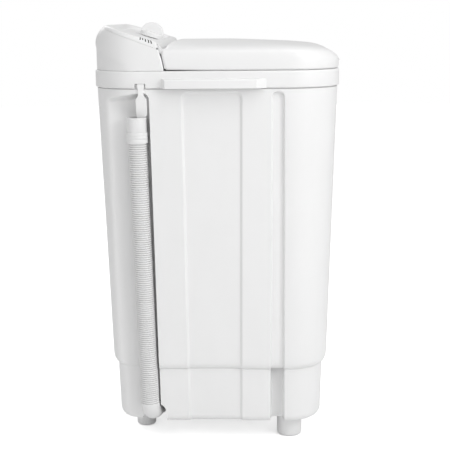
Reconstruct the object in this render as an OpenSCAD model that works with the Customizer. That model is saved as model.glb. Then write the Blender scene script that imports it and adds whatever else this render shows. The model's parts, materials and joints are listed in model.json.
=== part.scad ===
/* [Base and feet] */
// Height of the base's lower edge over the floor
foot_height = 51; // [34:1:70]
// Height of the base, from its lower edge to the parting line
base_height = 121; // [112:1:160]
// Diameter of the two front feet
front_foot_d = 54; // [30:1:64]
// Diameter of the two rear feet
rear_foot_d = 43; // [24:1:52]

/* [Tub] */
// Width of the tub at the parting line, between its flat sides
tub_width = 444; // [400:1:520]
// Depth of the tub at the parting line, front to rear
tub_depth = 466; // [440:1:560]
// Height of the tub, from the parting line to the rim band
tub_height = 600; // [480:1:700]
// How far each wall leans outward over that height
draft = 18.5; // [6:0.5:26]
// Radius of the upright corners at the parting line
corner_r = 83; // [60:1:110]
// Wall of the tub, base and rim
wall = 3.2; // [2.4:0.1:4.5]
// How far the tub's lower edge tucks in to meet the base
tuck = 9; // [4:0.5:16]
// Height of the tub floor over the parting line
floor_rise = 40; // [34:1:60]

/* [Side relief] */
// Depth of the broad middle panel on each side
panel_depth = 5; // [2:0.5:9]
// Width of that panel at its top
panel_width = 120; // [80:1:170]
// Width of the narrow groove near the front corners
groove_width = 24; // [16:1:34]
// Depth of that groove in the tub
groove_depth = 8; // [4:0.5:14]
// Depth of that groove in the base
base_groove_depth = 24; // [8:1:30]
// Depth of the pocket that the drain hose lies in
pocket_depth = 32; // [20:1:40]

/* [Rim] */
// Height of the rim band
rim_height = 35; // [30:1:55]
// How far the rim stands proud of the tub
rim_proud = 3.5; // [2:0.5:8]
// How far the side grips stand out from the rim
grip_out = 16; // [12:0.5:26]
// Length of each side grip
grip_length = 214; // [140:1:240]

/* [Console] */
// Height of the console over the rim, at the rear
console_height = 91; // [70:1:120]
// Height of the lid's hinge axis over the rim
hinge_height = 44; // [40:1:56]
// Depth of the console, rear wall to hinge axis
console_depth = 140; // [120:1:150]
// Diameter of the timer knob
knob_d = 54; // [36:1:60]
// How far the knob sits right of the middle
knob_side = 65; // [-150:1:150]

/* [Lid] */
// Rise of the lid's crown over the rim
lid_crown = 57.5; // [50:0.5:70]
// Wall of the lid
lid_wall = 2.8; // [2:0.1:4]
// How far the front lip of the lid stands out
lip_out = 9; // [5:0.5:16]
// Width of that lip
lip_width = 110; // [60:1:200]

/* [Drive] */
// Diameter of the agitator
agitator_d = 296; // [220:1:320]
// Height of the agitator
agitator_height = 88; // [60:1:120]
// Number of tall fins on the agitator
fin_count = 4; // [3:1:6]
// Diameter of the drive shaft
shaft_d = 12; // [10:0.5:16]
// Pitch diameter of the large pulley
large_pulley_d = 164; // [120:1:170]
// Pitch diameter of the motor's pulley
small_pulley_d = 44; // [34:1:60]
// Diameter of the motor
motor_d = 116; // [90:1:120]
// Height of the motor between its end faces
motor_height = 84; // [60:1:86]
// Distance of the motor's axis right of the shaft
motor_x = 95; // [90:1:110]
// Distance of the motor's axis behind the shaft
motor_y = 118; // [105:1:125]

/* [Drain] */
// Outer diameter of the ribbed drain hose
hose_d = 39; // [30:0.5:39]
// Bore of the drain hose
hose_bore = 32; // [22:0.5:33]
// Number of ribs on the drain hose
rib_count = 122; // [60:1:160]
// How far the hose's open end hangs below the rim band
hose_drop = 59; // [50:1:120]
// Bend radius of the elbow under the hose
elbow_r = 25; // [23:0.5:30]

/* [Clearances] */
// Gap around a shaft in its bearing
running_gap = 0.05; // [0.02:0.01:0.1]
// Gap between pieces that seat in each other
seat_gap = 0.4; // [0.3:0.05:1]
// Gap between a moving piece and what it passes
moving_gap = 2; // [1:0.1:4]

/* [Hidden] */
$fn = 96;

white = [0.93, 0.93, 0.94];
grey = [0.55, 0.56, 0.58];
steel = [0.72, 0.73, 0.75];
black = [0.12, 0.12, 0.13];

// Heights of the main seams
base_z = foot_height;
part_z = base_z + base_height;
floor_z = part_z + floor_rise;
floor_top = floor_z + 4;
rim_z = part_z + tub_height;
deck_z = rim_z + rim_height;
plate_t = wall + 0.3;

// Plan: the corners' centres stay put at every height
corner_x = tub_width / 2 - corner_r;
corner_y = tub_depth / 2 - corner_r;
function lean(z) = draft * (z - part_z) / tub_height;
rim_rx = corner_r + draft + rim_proud;
rim_half_x = corner_x + rim_rx;
rim_half_y = corner_y + rim_rx;
lid_inset = 1;
// The lid's lip stands past the front, so the body sits half as much further back
body_y = (lip_out - lid_inset) / 2;
big = 2 * (tub_width + tub_depth);
// The round corners stand this much proud of the flat sides
seam = 0.03;

// Tuck of the tub's lower edge: height over the parting line, inset
tuck_steps = [[0, tuck], [4, tuck * 0.48], [11, tuck * 0.16], [25, 0]];
// Rounding of the base's lower edge: height over it, inset
foot_steps = [[0, 12], [4, 5], [9, 1.5], [15, 0]];

module at_body() {
    translate([0, body_y, 0]) children();
}

// Prism along Y, wide low at the bottom and high at the top
module wedge(low, high, span, lo, hi) {
    rotate([90, 0, 0]) translate([0, 0, -span / 2]) linear_extrude(span)
        polygon([[-low, lo], [low, lo], [high, hi], [-high, hi]]);
}

// One band of the drafted, round-cornered body, drawn in by in_lo and in_hi
module band(lo, hi, in_lo, in_hi) {
    r_lo = corner_r + lean(lo) - in_lo;
    r_hi = corner_r + lean(hi) - in_hi;
    wedge(corner_x + r_lo - seam, corner_x + r_hi - seam, 2 * corner_y, lo, hi);
    rotate([0, 0, 90]) wedge(corner_y + r_lo - seam, corner_y + r_hi - seam, 2 * corner_x, lo, hi);
    for (x = [-corner_x, corner_x], y = [-corner_y, corner_y])
        translate([x, y, lo]) cylinder(hi - lo, r_lo, r_hi);
}

// Outline in Y and Z, carried through the whole width
module through_sides() {
    rotate([90, 0, 90]) translate([0, 0, -big / 2]) linear_extrude(big) children();
}

// All that lies deeper than depth inside the flat sides
module side_core(depth, lo, hi) {
    low = corner_x + corner_r + lean(lo) - depth;
    high = corner_x + corner_r + lean(hi) - depth;
    wedge(low, high, big, lo, hi);
}

panel_mid = 7;
panel_top = rim_z - 10;
panel_round = 11;
groove_front = 139.5;
groove_top = rim_z - 8;
panel_lean = 4;
groove_lean = 3;
pocket_front = 135.5;
pocket_lean = 7.5;
pocket_top = rim_z - 11;
pocket_round = 14;

// Share of the tub's height from the rim down to z
function below_rim(z) = (rim_z - z) / (rim_z - part_z);

module panel_outline(grow) {
    half = panel_width / 2 + grow;
    low = base_z - 20;
    s = panel_lean * below_rim(low);
    r = panel_round + grow;
    top = panel_top + grow;
    translate([panel_mid, 0]) {
        polygon([[-half + s, low], [half - s, low], [half, top - r], [-half, top - r]]);
        translate([-half + r, top - r - 1]) square([2 * half - 2 * r, r + 1]);
        for (y = [-half + r, half - r]) translate([y, top - r]) circle(r);
    }
}

module groove_outline(grow) {
    half = groove_width / 2 + grow;
    mid = groove_width / 2 - groove_front;
    low = base_z - 20;
    s = groove_lean * below_rim(low);
    top = groove_top + grow - half;
    polygon([[mid - half, low], [mid + half + s, low], [mid + half, top], [mid - half, top]]);
    translate([mid, top]) circle(half);
}

module pocket_outline(grow) {
    low = base_z - 20;
    s = pocket_lean * below_rim(low);
    r = pocket_round + grow;
    front = pocket_front - grow;
    top = pocket_top + grow;
    polygon([[front - s, low], [big / 2, low], [big / 2, top - 40], [front + 60, top - 12],
        [front + r + 12, top - 2], [front + r, top], [front + r, top - r], [front, top - r]]);
    translate([front + r, top - r]) circle(r);
}

// The relief in the sides of the tub and base: grow is the wall behind it
module relief(grow) {
    step_z = part_z + 14;
    low = base_z - 30;
    high = deck_z + 20;
    difference() {
        through_sides() panel_outline(grow);
        side_core(panel_depth + grow, step_z, high);
        side_core(panel_depth + tuck + grow, low, step_z);
    }
    difference() {
        through_sides() groove_outline(grow);
        side_core(groove_depth + grow, step_z, high);
        side_core(groove_depth + tuck + grow, part_z, step_z);
        side_core(base_groove_depth + tuck + grow, low, part_z);
    }
    intersection() {
        difference() {
            through_sides() pocket_outline(grow);
            side_core(pocket_depth + grow, low, high);
        }
        translate([-big, -big / 2, 0]) cube([big, big, big]);
    }
}

// Tub form from the tucked lower edge up to hi, drawn in by inset
module tucked_form(inset, below, hi) {
    difference() {
        union() {
            if (below > 0) band(part_z - below, part_z, inset + tuck, inset + tuck);
            for (i = [0:len(tuck_steps) - 2])
                band(part_z + tuck_steps[i][0], part_z + tuck_steps[i + 1][0],
                    inset + tuck_steps[i][1], inset + tuck_steps[i + 1][1]);
            band(part_z + tuck_steps[3][0], hi, inset, inset);
        }
        relief(inset);
    }
}

module straight_form(inset, grow, lo, hi) {
    difference() {
        band(lo, hi, inset, inset);
        relief(grow);
    }
}

// The base, with its rounded lower edge, drawn in by inset and lifted
module base_form(inset, lift, hi) {
    in = tuck + inset;
    difference() {
        union() {
            for (i = [0:len(foot_steps) - 2])
                band(base_z + lift + foot_steps[i][0], base_z + lift + foot_steps[i + 1][0],
                    in + foot_steps[i][1], in + foot_steps[i + 1][1]);
            band(base_z + lift + foot_steps[3][0], hi, in, in);
        }
        relief(inset);
    }
}

// Points where the tub is screwed down to the base
base_screw_x = tub_width / 2 - 122;
base_screw_y = tub_depth / 2 - 40;
boss_r = 8;

module at_base_screws() {
    for (x = [-base_screw_x, base_screw_x], y = [-base_screw_y, base_screw_y])
        translate([x, y, 0]) children();
}

spigot_r = 15.6;
housing_spigot_r = 20;
collar_inset = 2.5;

module tub() {
    color(white) at_body() difference() {
        union() {
            difference() {
                union() {
                    tucked_form(0, 0, rim_z - 2);
                    band(rim_z - 2, deck_z - plate_t, collar_inset, collar_inset);
                }
                straight_form(wall + collar_inset, wall + collar_inset, floor_top, deck_z + 1);
                straight_form(wall, wall, floor_top, rim_z - 20);
                tucked_form(wall, 2, floor_z);
            }
            at_base_screws() translate([0, 0, part_z + 2]) cylinder(floor_z - part_z, r = boss_r);
        }
        translate([0, 0, floor_z - 1]) cylinder(8, r = housing_spigot_r + seat_gap);
        drain_line() translate([drain_run, 0, floor_z - 1]) cylinder(8, r = spigot_r + seat_gap);
        at_base_screws() translate([0, 0, part_z]) cylinder(26, r = 2.1);
        at_console_screws() translate([0, 0, deck_z - 12]) cylinder(20, r = screw_room_r);
    }
}

// Feet: place of each foot and its spigot
front_foot = [corner_x, -(corner_y + 3)];
rear_foot = [corner_x - 54, corner_y + 22];
foot_spigot_r = 9;
foot_spigot_h = 20;

module at_feet(place) {
    for (side = [-1, 1]) translate([side * place[0], place[1], 0]) children();
}

module foot(d, edge) {
    r = d / 2;
    rotate_extrude() union() {
        translate([0, edge]) square([r, foot_height - edge]);
        square([r - edge, edge + 1]);
        translate([r - edge, edge]) circle(edge);
        square([foot_spigot_r, foot_height + foot_spigot_h]);
    }
}

module front_feet() {
    color(white) at_body() at_feet(front_foot) foot(front_foot_d, 5);
}

module rear_feet() {
    color(white) at_body() at_feet(rear_foot) foot(rear_foot_d, 5);
}

// Hose line: parallel to the floor and front wall of its pocket
collar_h = 22.5;
cuff_h = 30;
hose_low = base_z + 46;
mouth_z = rim_z - hose_drop;
hose_length = mouth_z - cuff_h - collar_h - hose_low;
hose_top = hose_low + hose_length;
hose_lean = 12.7;
elbow_z = hose_low - elbow_r;
function hose_x(z) = -(tub_width / 2 + lean(z) - pocket_depth + hose_d / 2 + 3.2);
function hose_y(z) = pocket_front + hose_d / 2 + 7.7 - hose_lean * below_rim(z);
function hose_at(z) = [hose_x(z), hose_y(z), z];

// The drain pipe runs from under the hose inward and a little to the front
drain_turn = 15;
pipe_bend = 30;
drain_run = 102;
elbow_out_r = hose_d / 2 + 0.5;
arch_r = elbow_out_r + 3;
arch_y = hose_y(hose_low) - elbow_r * tan(drain_turn);

module along(p, q) {
    d = q - p;
    translate(p) rotate([0, acos(d[2] / norm(d)), atan2(d[1], d[0])]) children();
}

module on_hose(lo) {
    along(hose_at(lo), hose_at(hose_top + 100)) children();
}

module drain_line() {
    translate([hose_x(hose_low), hose_y(hose_low), 0]) rotate(-drain_turn) children();
}

module hose_arch() {
    shift = 5;
    through_sides() union() {
        translate([arch_y - shift - arch_r, base_z - 5])
            square([2 * arch_r + shift, elbow_z - base_z + 4]);
        translate([arch_y, elbow_z]) circle(arch_r);
        translate([arch_y - shift, elbow_z - 1.5]) circle(arch_r);
    }
}

gland_x = tub_width / 2 - 102;
gland_z = base_z + 64;
gland_r = 8;

module base_ring(in_outer, in_inner, lo, hi) {
    difference() {
        straight_form(tuck + in_outer, in_outer, lo, hi);
        straight_form(tuck + in_inner, in_inner, lo - 1, hi + 1);
    }
}

// Opening in the base's floor, for a hand or a tool
service_x = tub_width / 2 - 122;
service_y = tub_depth / 2 - 115;

module base_skirt() {
    lip = wall + seat_gap;
    lug_h = 8;
    lug_z = part_z - lug_h;
    color(white) at_body() difference() {
        union() {
            difference() {
                base_form(0, 0, part_z);
                base_form(wall, wall, part_z + 1);
                translate([-service_x, -service_y, base_z - 1])
                    cube([2 * service_x, 2 * service_y + 20, wall + 2]);
            }
            base_ring(wall - 1, lip + wall, part_z - 12, part_z - 5);
            base_ring(lip, lip + wall, part_z - 12, part_z + 9);
            at_feet(front_foot) translate([0, 0, base_z])
                cylinder(foot_spigot_h + 6, r = foot_spigot_r + 4);
            at_feet(rear_foot) translate([0, 0, base_z])
                cylinder(foot_spigot_h + 6, r = foot_spigot_r + 4);
            for (x = [-1, 1], y = [-1, 1])
                intersection() {
                    translate([x * base_screw_x - boss_r, y > 0 ? base_screw_y - boss_r : -big, lug_z])
                        cube([2 * boss_r, big - base_screw_y + boss_r, lug_h]);
                    band(lug_z - 1, part_z + 5, tuck + wall - 1, tuck + wall - 1);
                }
            at_base_screws() translate([0, 0, part_z - 1]) cylinder(3, r = boss_r);
        }
        at_feet(front_foot) translate([0, 0, base_z - 1])
            cylinder(foot_spigot_h + 1.5, r = foot_spigot_r + seat_gap / 2);
        at_feet(rear_foot) translate([0, 0, base_z - 1])
            cylinder(foot_spigot_h + 1.5, r = foot_spigot_r + seat_gap / 2);
        at_base_screws() translate([0, 0, lug_z - 1]) cylinder(20, r = 2.8);
        intersection() {
            hose_arch();
            translate([-big, 0, 0]) cube([big - tub_width / 2 + 50, big, big]);
        }
        drain_line() translate([15, -arch_r - 2, base_z - 1])
            cube([drain_run - pipe_bend - 2, 2 * arch_r + 4, wall + 2]);
        translate([gland_x, tub_depth / 2 - 40, gland_z]) rotate([-90, 0, 0])
            cylinder(60, r = gland_r + seat_gap / 2);
    }
}

// Rim: plan outlines
module rim_plan(inset) {
    square([2 * corner_x, 2 * (rim_half_y - inset)], center = true);
    square([2 * (rim_half_x - inset), 2 * corner_y], center = true);
    for (x = [-corner_x, corner_x], y = [-corner_y, corner_y])
        translate([x, y]) circle(rim_rx - inset);
}

// Box outline from front to rear, with its own corner radius at each end
module rounded_plan(half_x, front, rear, r_front, r_rear) {
    translate([-half_x, front + r_front]) square([2 * half_x, rear - r_rear - front - r_front]);
    translate([-half_x + r_front, front]) square([2 * (half_x - r_front), r_front + 1]);
    translate([-half_x + r_rear, rear - r_rear - 1]) square([2 * (half_x - r_rear), r_rear + 1]);
    for (x = [-1, 1]) {
        translate([x * (half_x - r_front), front + r_front]) circle(r_front);
        translate([x * (half_x - r_rear), rear - r_rear]) circle(r_rear);
    }
}

hinge_y = rim_half_y - console_depth;
hinge_z = deck_z + hinge_height;
lid_rear = hinge_y - 13.5;
ear_x = rim_half_x - 16;
mouth_side = 29;
mouth_front = 24;
mouth_rear = lid_rear - 6;

module mouth_plan(grow) {
    rounded_plan(rim_half_x - mouth_side + grow, -(rim_half_y - mouth_front) - grow,
        mouth_rear + grow, rim_rx - mouth_side + grow, 34 + grow);
}

grip_h = 19;
grip_rear = 108;
grip_front = grip_rear - grip_length;

// Plan of one side grip, drawn in by t
module grip_plan(t) {
    in = rim_half_x - wall - 1;
    out = rim_half_x + grip_out - t;
    polygon([[in, grip_front + t], [rim_half_x - t, grip_front + t],
        [out, grip_front + 20 + t / 2], [out, grip_rear - 8 - t / 2],
        [rim_half_x - t, grip_rear - t], [in, grip_rear - t]]);
}

hook_y = hose_y(rim_z) - 12.9;
hook_head_w = 14;
hook_head_h = 9.5;
hook_neck_w = 11.3;
hook_blade_w = 22.5;
notch_w = 22;
upstand_h = 6;
// Opening under the console, for the timer's wires
wire_way_x = corner_x - 9;

module rim_frame() {
    drop = 18;
    color(white) at_body() difference() {
        union() {
            translate([0, 0, deck_z - plate_t]) linear_extrude(plate_t) rim_plan(0);
            translate([0, 0, rim_z]) linear_extrude(rim_height) difference() {
                rim_plan(0);
                rim_plan(wall);
            }
            translate([0, 0, deck_z - drop]) linear_extrude(drop + upstand_h) mouth_plan(wall);
            for (side = [0, 1]) mirror([side, 0, 0]) translate([0, 0, rim_z])
                linear_extrude(grip_h) grip_plan(0);
        }
        translate([0, 0, deck_z - drop - 1]) linear_extrude(drop + upstand_h + 2) mouth_plan(0);
        for (side = [0, 1]) mirror([side, 0, 0]) translate([-1, 0, rim_z - 1])
            linear_extrude(grip_h - wall + 1) grip_plan(wall);
        translate([-rim_half_x - 1, hook_y + 1.2 - notch_w / 2, rim_z - 1])
            cube([wall + 2, notch_w, hook_head_h + seat_gap + 1]);
        translate([-wire_way_x, hinge_y + 30, deck_z - plate_t - 1])
            cube([2 * wire_way_x, console_depth - 60, plate_t + 2]);
        at_console_screws() translate([0, 0, deck_z - plate_t - 1]) cylinder(plate_t + 2, r = 2.3);
    }
}

// Console
console_inset = 1.5;
console_rear = rim_half_y - console_inset;
console_top = deck_z + console_height;
slope_front = [hinge_y + 2, hinge_z + 13];
slope_rear = [console_rear - 25, console_top];
slope = atan2(slope_rear[1] - slope_front[1], slope_rear[0] - slope_front[0]);
slope_len = norm(slope_rear - slope_front);

module at_console_screws() {
    for (side = [-1, 1]) {
        translate([side * (rim_half_x - 94), hinge_y - 12 + wall + 4, 0]) children();
        translate([side * (corner_x - 19), console_rear - wall - 4, 0]) children();
    }
}

// Side view of the console: front, top and rear, drawn in by t and by roof at the slope
module console_profile(t, roof, low) {
    polygon([[hinge_y - 12 + t, low], [hinge_y - 11 + t, deck_z + 9],
        [hinge_y - 8.5 + t, deck_z + hinge_height * 0.48 - t * 0.2],
        [hinge_y - 5 + t, deck_z + hinge_height * 0.76 - t * 0.5],
        [hinge_y - 2 + t, hinge_z - 2.5 - t * 0.8], slope_front + [t, t * tan(slope) - roof],
        slope_rear + [0, -roof], slope_rear + [7 - t / 3, -2 - roof],
        slope_rear + [15 - t / 2, -12 - t], [console_rear - 2.5 - t * 0.8, console_top - 24 - t],
        [console_rear - t, console_top - 34 - t], [console_rear - t, low]]);
}

module console_form(t, roof, low) {
    intersection() {
        translate([0, 0, low]) linear_extrude(console_height + 60) rim_plan(console_inset + t);
        through_sides() console_profile(t, roof, low);
    }
}

module on_slope() {
    translate([0, slope_front[0], slope_front[1]]) rotate([slope, 0, 0]) children();
}

// The cap meets the housing in a plane steeper than its top, level with the hinge in front
cap_turn = 3;
cap_gap = 0.2;
cap_skin = 3.8;
cap_sink = 8;
fascia_side = 14;
fascia_front = 11;
screw_room_r = 5;
knob_up = 42;
timer_hole_r = 7;
ear_half = 8;
ear_r = 6.5;
pin_r = 2;
cheek_t = 4;
cheek_in = ear_x - ear_half - moving_gap - cheek_t;

module at_timer() {
    on_slope() translate([knob_side, knob_up, 0]) children();
}

// Outline of the sunk field on the cap's top
module fascia_field() {
    intersection() {
        on_slope() translate([0, 0, -cap_sink]) linear_extrude(20)
            rounded_plan(rim_half_x - fascia_side, fascia_front, slope_len - 9, 8, 12);
        translate([0, 0, deck_z]) linear_extrude(big) rim_plan(fascia_side);
    }
}

// All above the seam between the housing and the cap
module above_seam(lift) {
    translate([0, hinge_y + 2, hinge_z + lift]) rotate([slope + cap_turn, 0, 0])
        translate([-big / 2, -big / 2, 0]) cube([big, big, big]);
}

// All above the underside of the sunk field
module tray_slab() {
    on_slope() translate([-big / 2, -20, -cap_sink - cap_skin]) cube([big, slope_len + 60, big]);
}

module along_x(from, to, r) {
    translate([from, hinge_y, hinge_z]) rotate([0, 90, 0]) cylinder(to - from, r = r);
}

// Room at both front corners of the console for the lid's ears
module ear_slots() {
    from = cheek_in + cheek_t;
    to = rim_half_x - console_inset - wall;
    low = 17;
    room = ear_r + moving_gap;
    for (side = [0, 1]) mirror([side, 0, 0]) translate([from, hinge_y - 20, hinge_z - low])
        cube([to - from, 20 + room, low + room]);
}

module pin_holes() {
    for (side = [0, 1]) mirror([side, 0, 0])
        along_x(cheek_in - 2, rim_half_x + 2, pin_r + running_gap);
}

module console_housing() {
    color(white) at_body() difference() {
        union() {
            difference() {
                console_form(0, 0, deck_z);
                console_form(wall, 0.1, deck_z - 1);
            }
            intersection() {
                console_form(0, 0.5, deck_z);
                for (side = [0, 1]) mirror([side, 0, 0])
                    translate([cheek_in, hinge_y - 20, hinge_z - 24]) cube([cheek_t, 32, 60]);
            }
            intersection() {
                console_form(1, 1, deck_z);
                at_console_screws() translate([0, 0, deck_z]) cylinder(24, r = 6);
            }
        }
        above_seam(0);
        ear_slots();
        pin_holes();
        at_console_screws() translate([0, 0, deck_z - 1]) cylinder(22, r = 1.7);
    }
}

module fascia_panel() {
    color(white) at_body() difference() {
        union() {
            difference() {
                intersection() {
                    console_form(0, 0, deck_z);
                    above_seam(cap_gap);
                }
                difference() {
                    console_form(wall + 1, 1, deck_z);
                    tray_slab();
                }
            }
            intersection() {
                console_form(wall + 1, 1, deck_z);
                tray_slab();
            }
        }
        fascia_field();
        ear_slots();
        pin_holes();
        at_timer() translate([0, 0, -20]) cylinder(40, r = timer_hole_r + seat_gap);
    }
}

knob_lift = 1.2;
knob_base = knob_lift - cap_sink;
knob_skirt_h = 10.5;
blade_r = knob_d / 2 - 0.6;
blade_t = 13;
blade_drop = 4;
timer_shaft_r = 3;

module timer_knob() {
    r = knob_d / 2;
    h = knob_skirt_h;
    color(white) at_body() at_timer() translate([0, 0, knob_base]) difference() {
        union() {
            rotate_extrude() polygon([[0, 0], [r, 0], [r, h - 1.2], [r - 0.7, h],
                [r - 4, h + 0.8], [r - 11, h + 1.4], [0, h + 1.8]]);
            translate([-blade_t / 2, 0, h - blade_drop]) rotate([90, 0, 90])
                linear_extrude(blade_t) intersection() {
                    circle(blade_r);
                    translate([-blade_r, 0]) square([2 * blade_r, blade_r]);
                }
        }
        translate([0, 0, -1]) cylinder(18, r = timer_shaft_r + 0.02);
    }
}

timer_top = -cap_sink - cap_skin - 0.2;
timer_h = 36;
timer_low = timer_top - timer_h;

module timer_shaft() {
    color(steel) at_body() at_timer() translate([0, 0, timer_low + 8])
        cylinder(knob_base + 16 - timer_low - 8, r = timer_shaft_r);
}

module timer_body() {
    side = 52;
    color(grey) at_body() at_timer() difference() {
        union() {
            translate([-side / 2, -side / 2, timer_low]) cube([side, side, timer_h]);
            translate([0, 0, timer_top - 1]) cylinder(cap_skin + 1, r = timer_hole_r);
        }
        translate([0, 0, timer_low + 6]) cylinder(60, r = timer_shaft_r + running_gap);
    }
}

// Lid: heights over the rim as shares of the crown, with the inset at the sides, front and rear
lid_gap = 2.5;
lid_levels = [[lid_gap, 0.5, 0.5, 0.5], [21, 0, 0, -2.4], [31, 0.5, 10, -3.9], [39, 3, 24, -5.1],
    [44, 9, 42, 2.2], [49, 30, 110, 4.5], [53.5, 85, 170, 6.5], [57, 160, 235, 11]];
lid_full = 57.5;

module lid_slab(level, t) {
    r = max(rim_rx - lid_inset - max(level[1], level[2]) * 0.8, 24);
    translate([0, 0, deck_z + level[0] * lid_crown / lid_full - t]) linear_extrude(0.4)
        rounded_plan(rim_half_x - lid_inset - level[1] - t,
            -(rim_half_y - lid_inset - level[2] - t), lid_rear - level[3] - t, r - t, 6, $fn = 64);
}

module lid_form(t) {
    hull() for (level = lid_levels) lid_slab(level, t);
}

// The ear's arm stays below the axis, so that it clears the cap when the lid is up
module ear() {
    translate([ear_x - ear_half, 0, 0]) rotate([90, 0, 90]) linear_extrude(2 * ear_half) union() {
        translate([hinge_y, hinge_z]) circle(ear_r);
        translate([hinge_y, hinge_z]) polygon([[-2, -2.5], [-12, -3.5], [-12, -14], [0.5, 0.2 - ear_r]]);
    }
}

lip_z = deck_z + 13;

module lid() {
    front = rim_half_y - lid_inset;
    color(white) at_body() difference() {
        union() {
            difference() {
                lid_form(0);
                lid_form(lid_wall);
                translate([-big / 2, -big / 2, deck_z - 20]) cube([big, big, 20 + lid_gap + 0.4]);
            }
            for (side = [0, 1]) mirror([side, 0, 0]) ear();
            translate([-lip_width / 2, 0, 0]) rotate([90, 0, 90]) linear_extrude(lip_width)
                polygon([[-front + 2, lip_z - 5], [-front - lip_out + 1, lip_z - 3],
                    [-front - lip_out, lip_z], [-front - lip_out + 3, lip_z + 2.5],
                    [-front + 2, lip_z + 4]]);
        }
        for (side = [0, 1]) mirror([side, 0, 0])
            along_x(ear_x - ear_half - 1, ear_x + ear_half + 1, pin_r + running_gap);
    }
}

module hinge_pins() {
    color(steel) at_body() for (side = [0, 1]) mirror([side, 0, 0])
        along_x(cheek_in, rim_half_x - console_inset - 1, pin_r);
}

// Drive: agitator, shaft and bearings on the tub's middle axis
shaft_r = shaft_d / 2;
pulley_z = base_z + 35;
pulley_t = 16;
agitator_z = floor_top + moving_gap + 3;
agitator_top = agitator_z + agitator_height;
shaft_low = pulley_z - pulley_t / 2 - 12;
bearing_r = 13;
bearing_h = 18;
housing_low = pulley_z + pulley_t / 2 + 10;
housing_flange_r = 70;
flange_t = 5;
nut_h = 8;

module agitator() {
    r = agitator_d / 2;
    z = agitator_z;
    top = agitator_top;
    color(white) at_body() difference() {
        union() {
            rotate_extrude() polygon([[shaft_r + 0.02, top - 7], [24, top - 9], [32, z + 42],
                [52, z + 18], [90, z + 9], [r - 8, z + 5], [r - 4, z], [r, z], [r, z + 6],
                [r - 5, z + 9], [90, z + 13], [56, z + 22], [38, z + 44], [31, top - 8],
                [28, top], [shaft_r + 0.02, top]]);
            rotate_extrude() translate([shaft_r + 0.02, z + 4]) square([6, agitator_height - 6]);
            for (i = [0:fin_count - 1]) rotate([90, 0, 360 / fin_count * i])
                translate([0, 0, -5]) linear_extrude(10)
                    polygon([[27, top - 4], [44, top - 16], [80, z + 46], [r - 22, z + 32],
                        [r - 6, z + 10], [r - 14, z + 6.5], [90, z + 11], [54, z + 20],
                        [36, z + 43], [29, top - 9]]);
            for (i = [0:fin_count - 1]) rotate([90, 0, 360 / fin_count * (i + 0.5)])
                translate([0, 0, -4]) linear_extrude(8)
                    polygon([[60, z + 18], [80, z + 24], [r - 30, z + 20], [r - 10, z + 9],
                        [90, z + 11]]);
        }
        translate([0, 0, top - 4]) cylinder(6, r = 21 + seat_gap / 2);
    }
}

module agitator_cap() {
    top = agitator_top;
    color(white) at_body() rotate_extrude()
        polygon([[0, top - 4], [21, top - 4], [21, top + 2], [17, top + 7], [9, top + 10], [0, top + 11]]);
}

module drive_shaft() {
    color(steel) at_body() translate([0, 0, shaft_low])
        cylinder(agitator_top - 5 - shaft_low, r = shaft_r);
}

module bearing_housing() {
    seat = bearing_r + 0.02;
    color(grey) at_body() difference() {
        union() {
            translate([0, 0, housing_low]) cylinder(floor_z - housing_low, r = bearing_r + 9);
            translate([0, 0, floor_z - flange_t]) cylinder(flange_t, r = housing_flange_r);
            translate([0, 0, floor_z - 1]) cylinder(floor_top - floor_z + 3, r = housing_spigot_r);
            for (i = [0:5]) rotate([90, 0, 60 * i]) translate([0, 0, -2.5]) linear_extrude(5)
                polygon([[bearing_r + 7, housing_low + 22], [bearing_r + 12, housing_low + 22],
                    [housing_flange_r - 8, floor_z - flange_t + 1], [bearing_r + 7, floor_z - 3]]);
        }
        translate([0, 0, housing_low - 1]) cylinder(bearing_h + 1, r = seat);
        translate([0, 0, housing_low]) cylinder(floor_z - housing_low, r = bearing_r - 3);
        translate([0, 0, floor_z - bearing_h - 8]) cylinder(bearing_h + 8 + 10, r = seat);
        at_housing_screws() translate([0, 0, floor_z - flange_t - 1]) cylinder(flange_t + 2, r = 2.7);
    }
}

module at_housing_screws() {
    for (i = [0:5]) rotate(60 * i + 30) translate([housing_flange_r - 12, 0, 0]) children();
}

module ring(z, h, outer, inner) {
    translate([0, 0, z]) difference() {
        cylinder(h, r = outer);
        translate([0, 0, -1]) cylinder(h + 2, r = inner);
    }
}

module shaft_bearings() {
    color([0.62, 0.5, 0.3]) at_body() {
        ring(housing_low, bearing_h, bearing_r, shaft_r + running_gap);
        ring(floor_z - bearing_h - 8, bearing_h, bearing_r, shaft_r + running_gap);
    }
}

module shaft_seal() {
    color(black) at_body()
        ring(floor_z - 8, floor_top - floor_z + 10, bearing_r, shaft_r + running_gap);
}

belt_t = 7;
belt_w = 10;

// Grooved pulley rim of pitch radius r, centred on z = 0
module grooved(r, bore) {
    out = r + belt_t / 2 + 1.5;
    deep = r - belt_t / 2 - 1;
    rotate_extrude() polygon([[bore, -pulley_t / 2], [out, -pulley_t / 2], [out, -belt_w / 2 - 0.8],
        [deep, -belt_w / 2 + 1.8], [deep, belt_w / 2 - 1.8], [out, belt_w / 2 + 0.8],
        [out, pulley_t / 2], [bore, pulley_t / 2]]);
}

module large_pulley() {
    r = large_pulley_d / 2;
    color(grey) at_body() translate([0, 0, pulley_z]) difference() {
        union() {
            grooved(r, r - 12);
            ring(-2.5, 5, r - 11, shaft_r + 0.02);
            ring(-pulley_t / 2, pulley_t, shaft_r + 10, shaft_r + 0.02);
        }
        for (i = [0:4]) rotate(72 * i) translate([(r + shaft_r) / 2 - 1, 0, -6])
            cylinder(12, r = r * 0.22);
    }
}

module pulley_nut() {
    color(steel) at_body() translate([0, 0, pulley_z - pulley_t / 2 - nut_h]) difference() {
        cylinder(nut_h, r = shaft_r + 4.5, $fn = 6);
        translate([0, 0, -1]) cylinder(nut_h + 2, r = shaft_r + 0.02, $fn = 96);
    }
}

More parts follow.
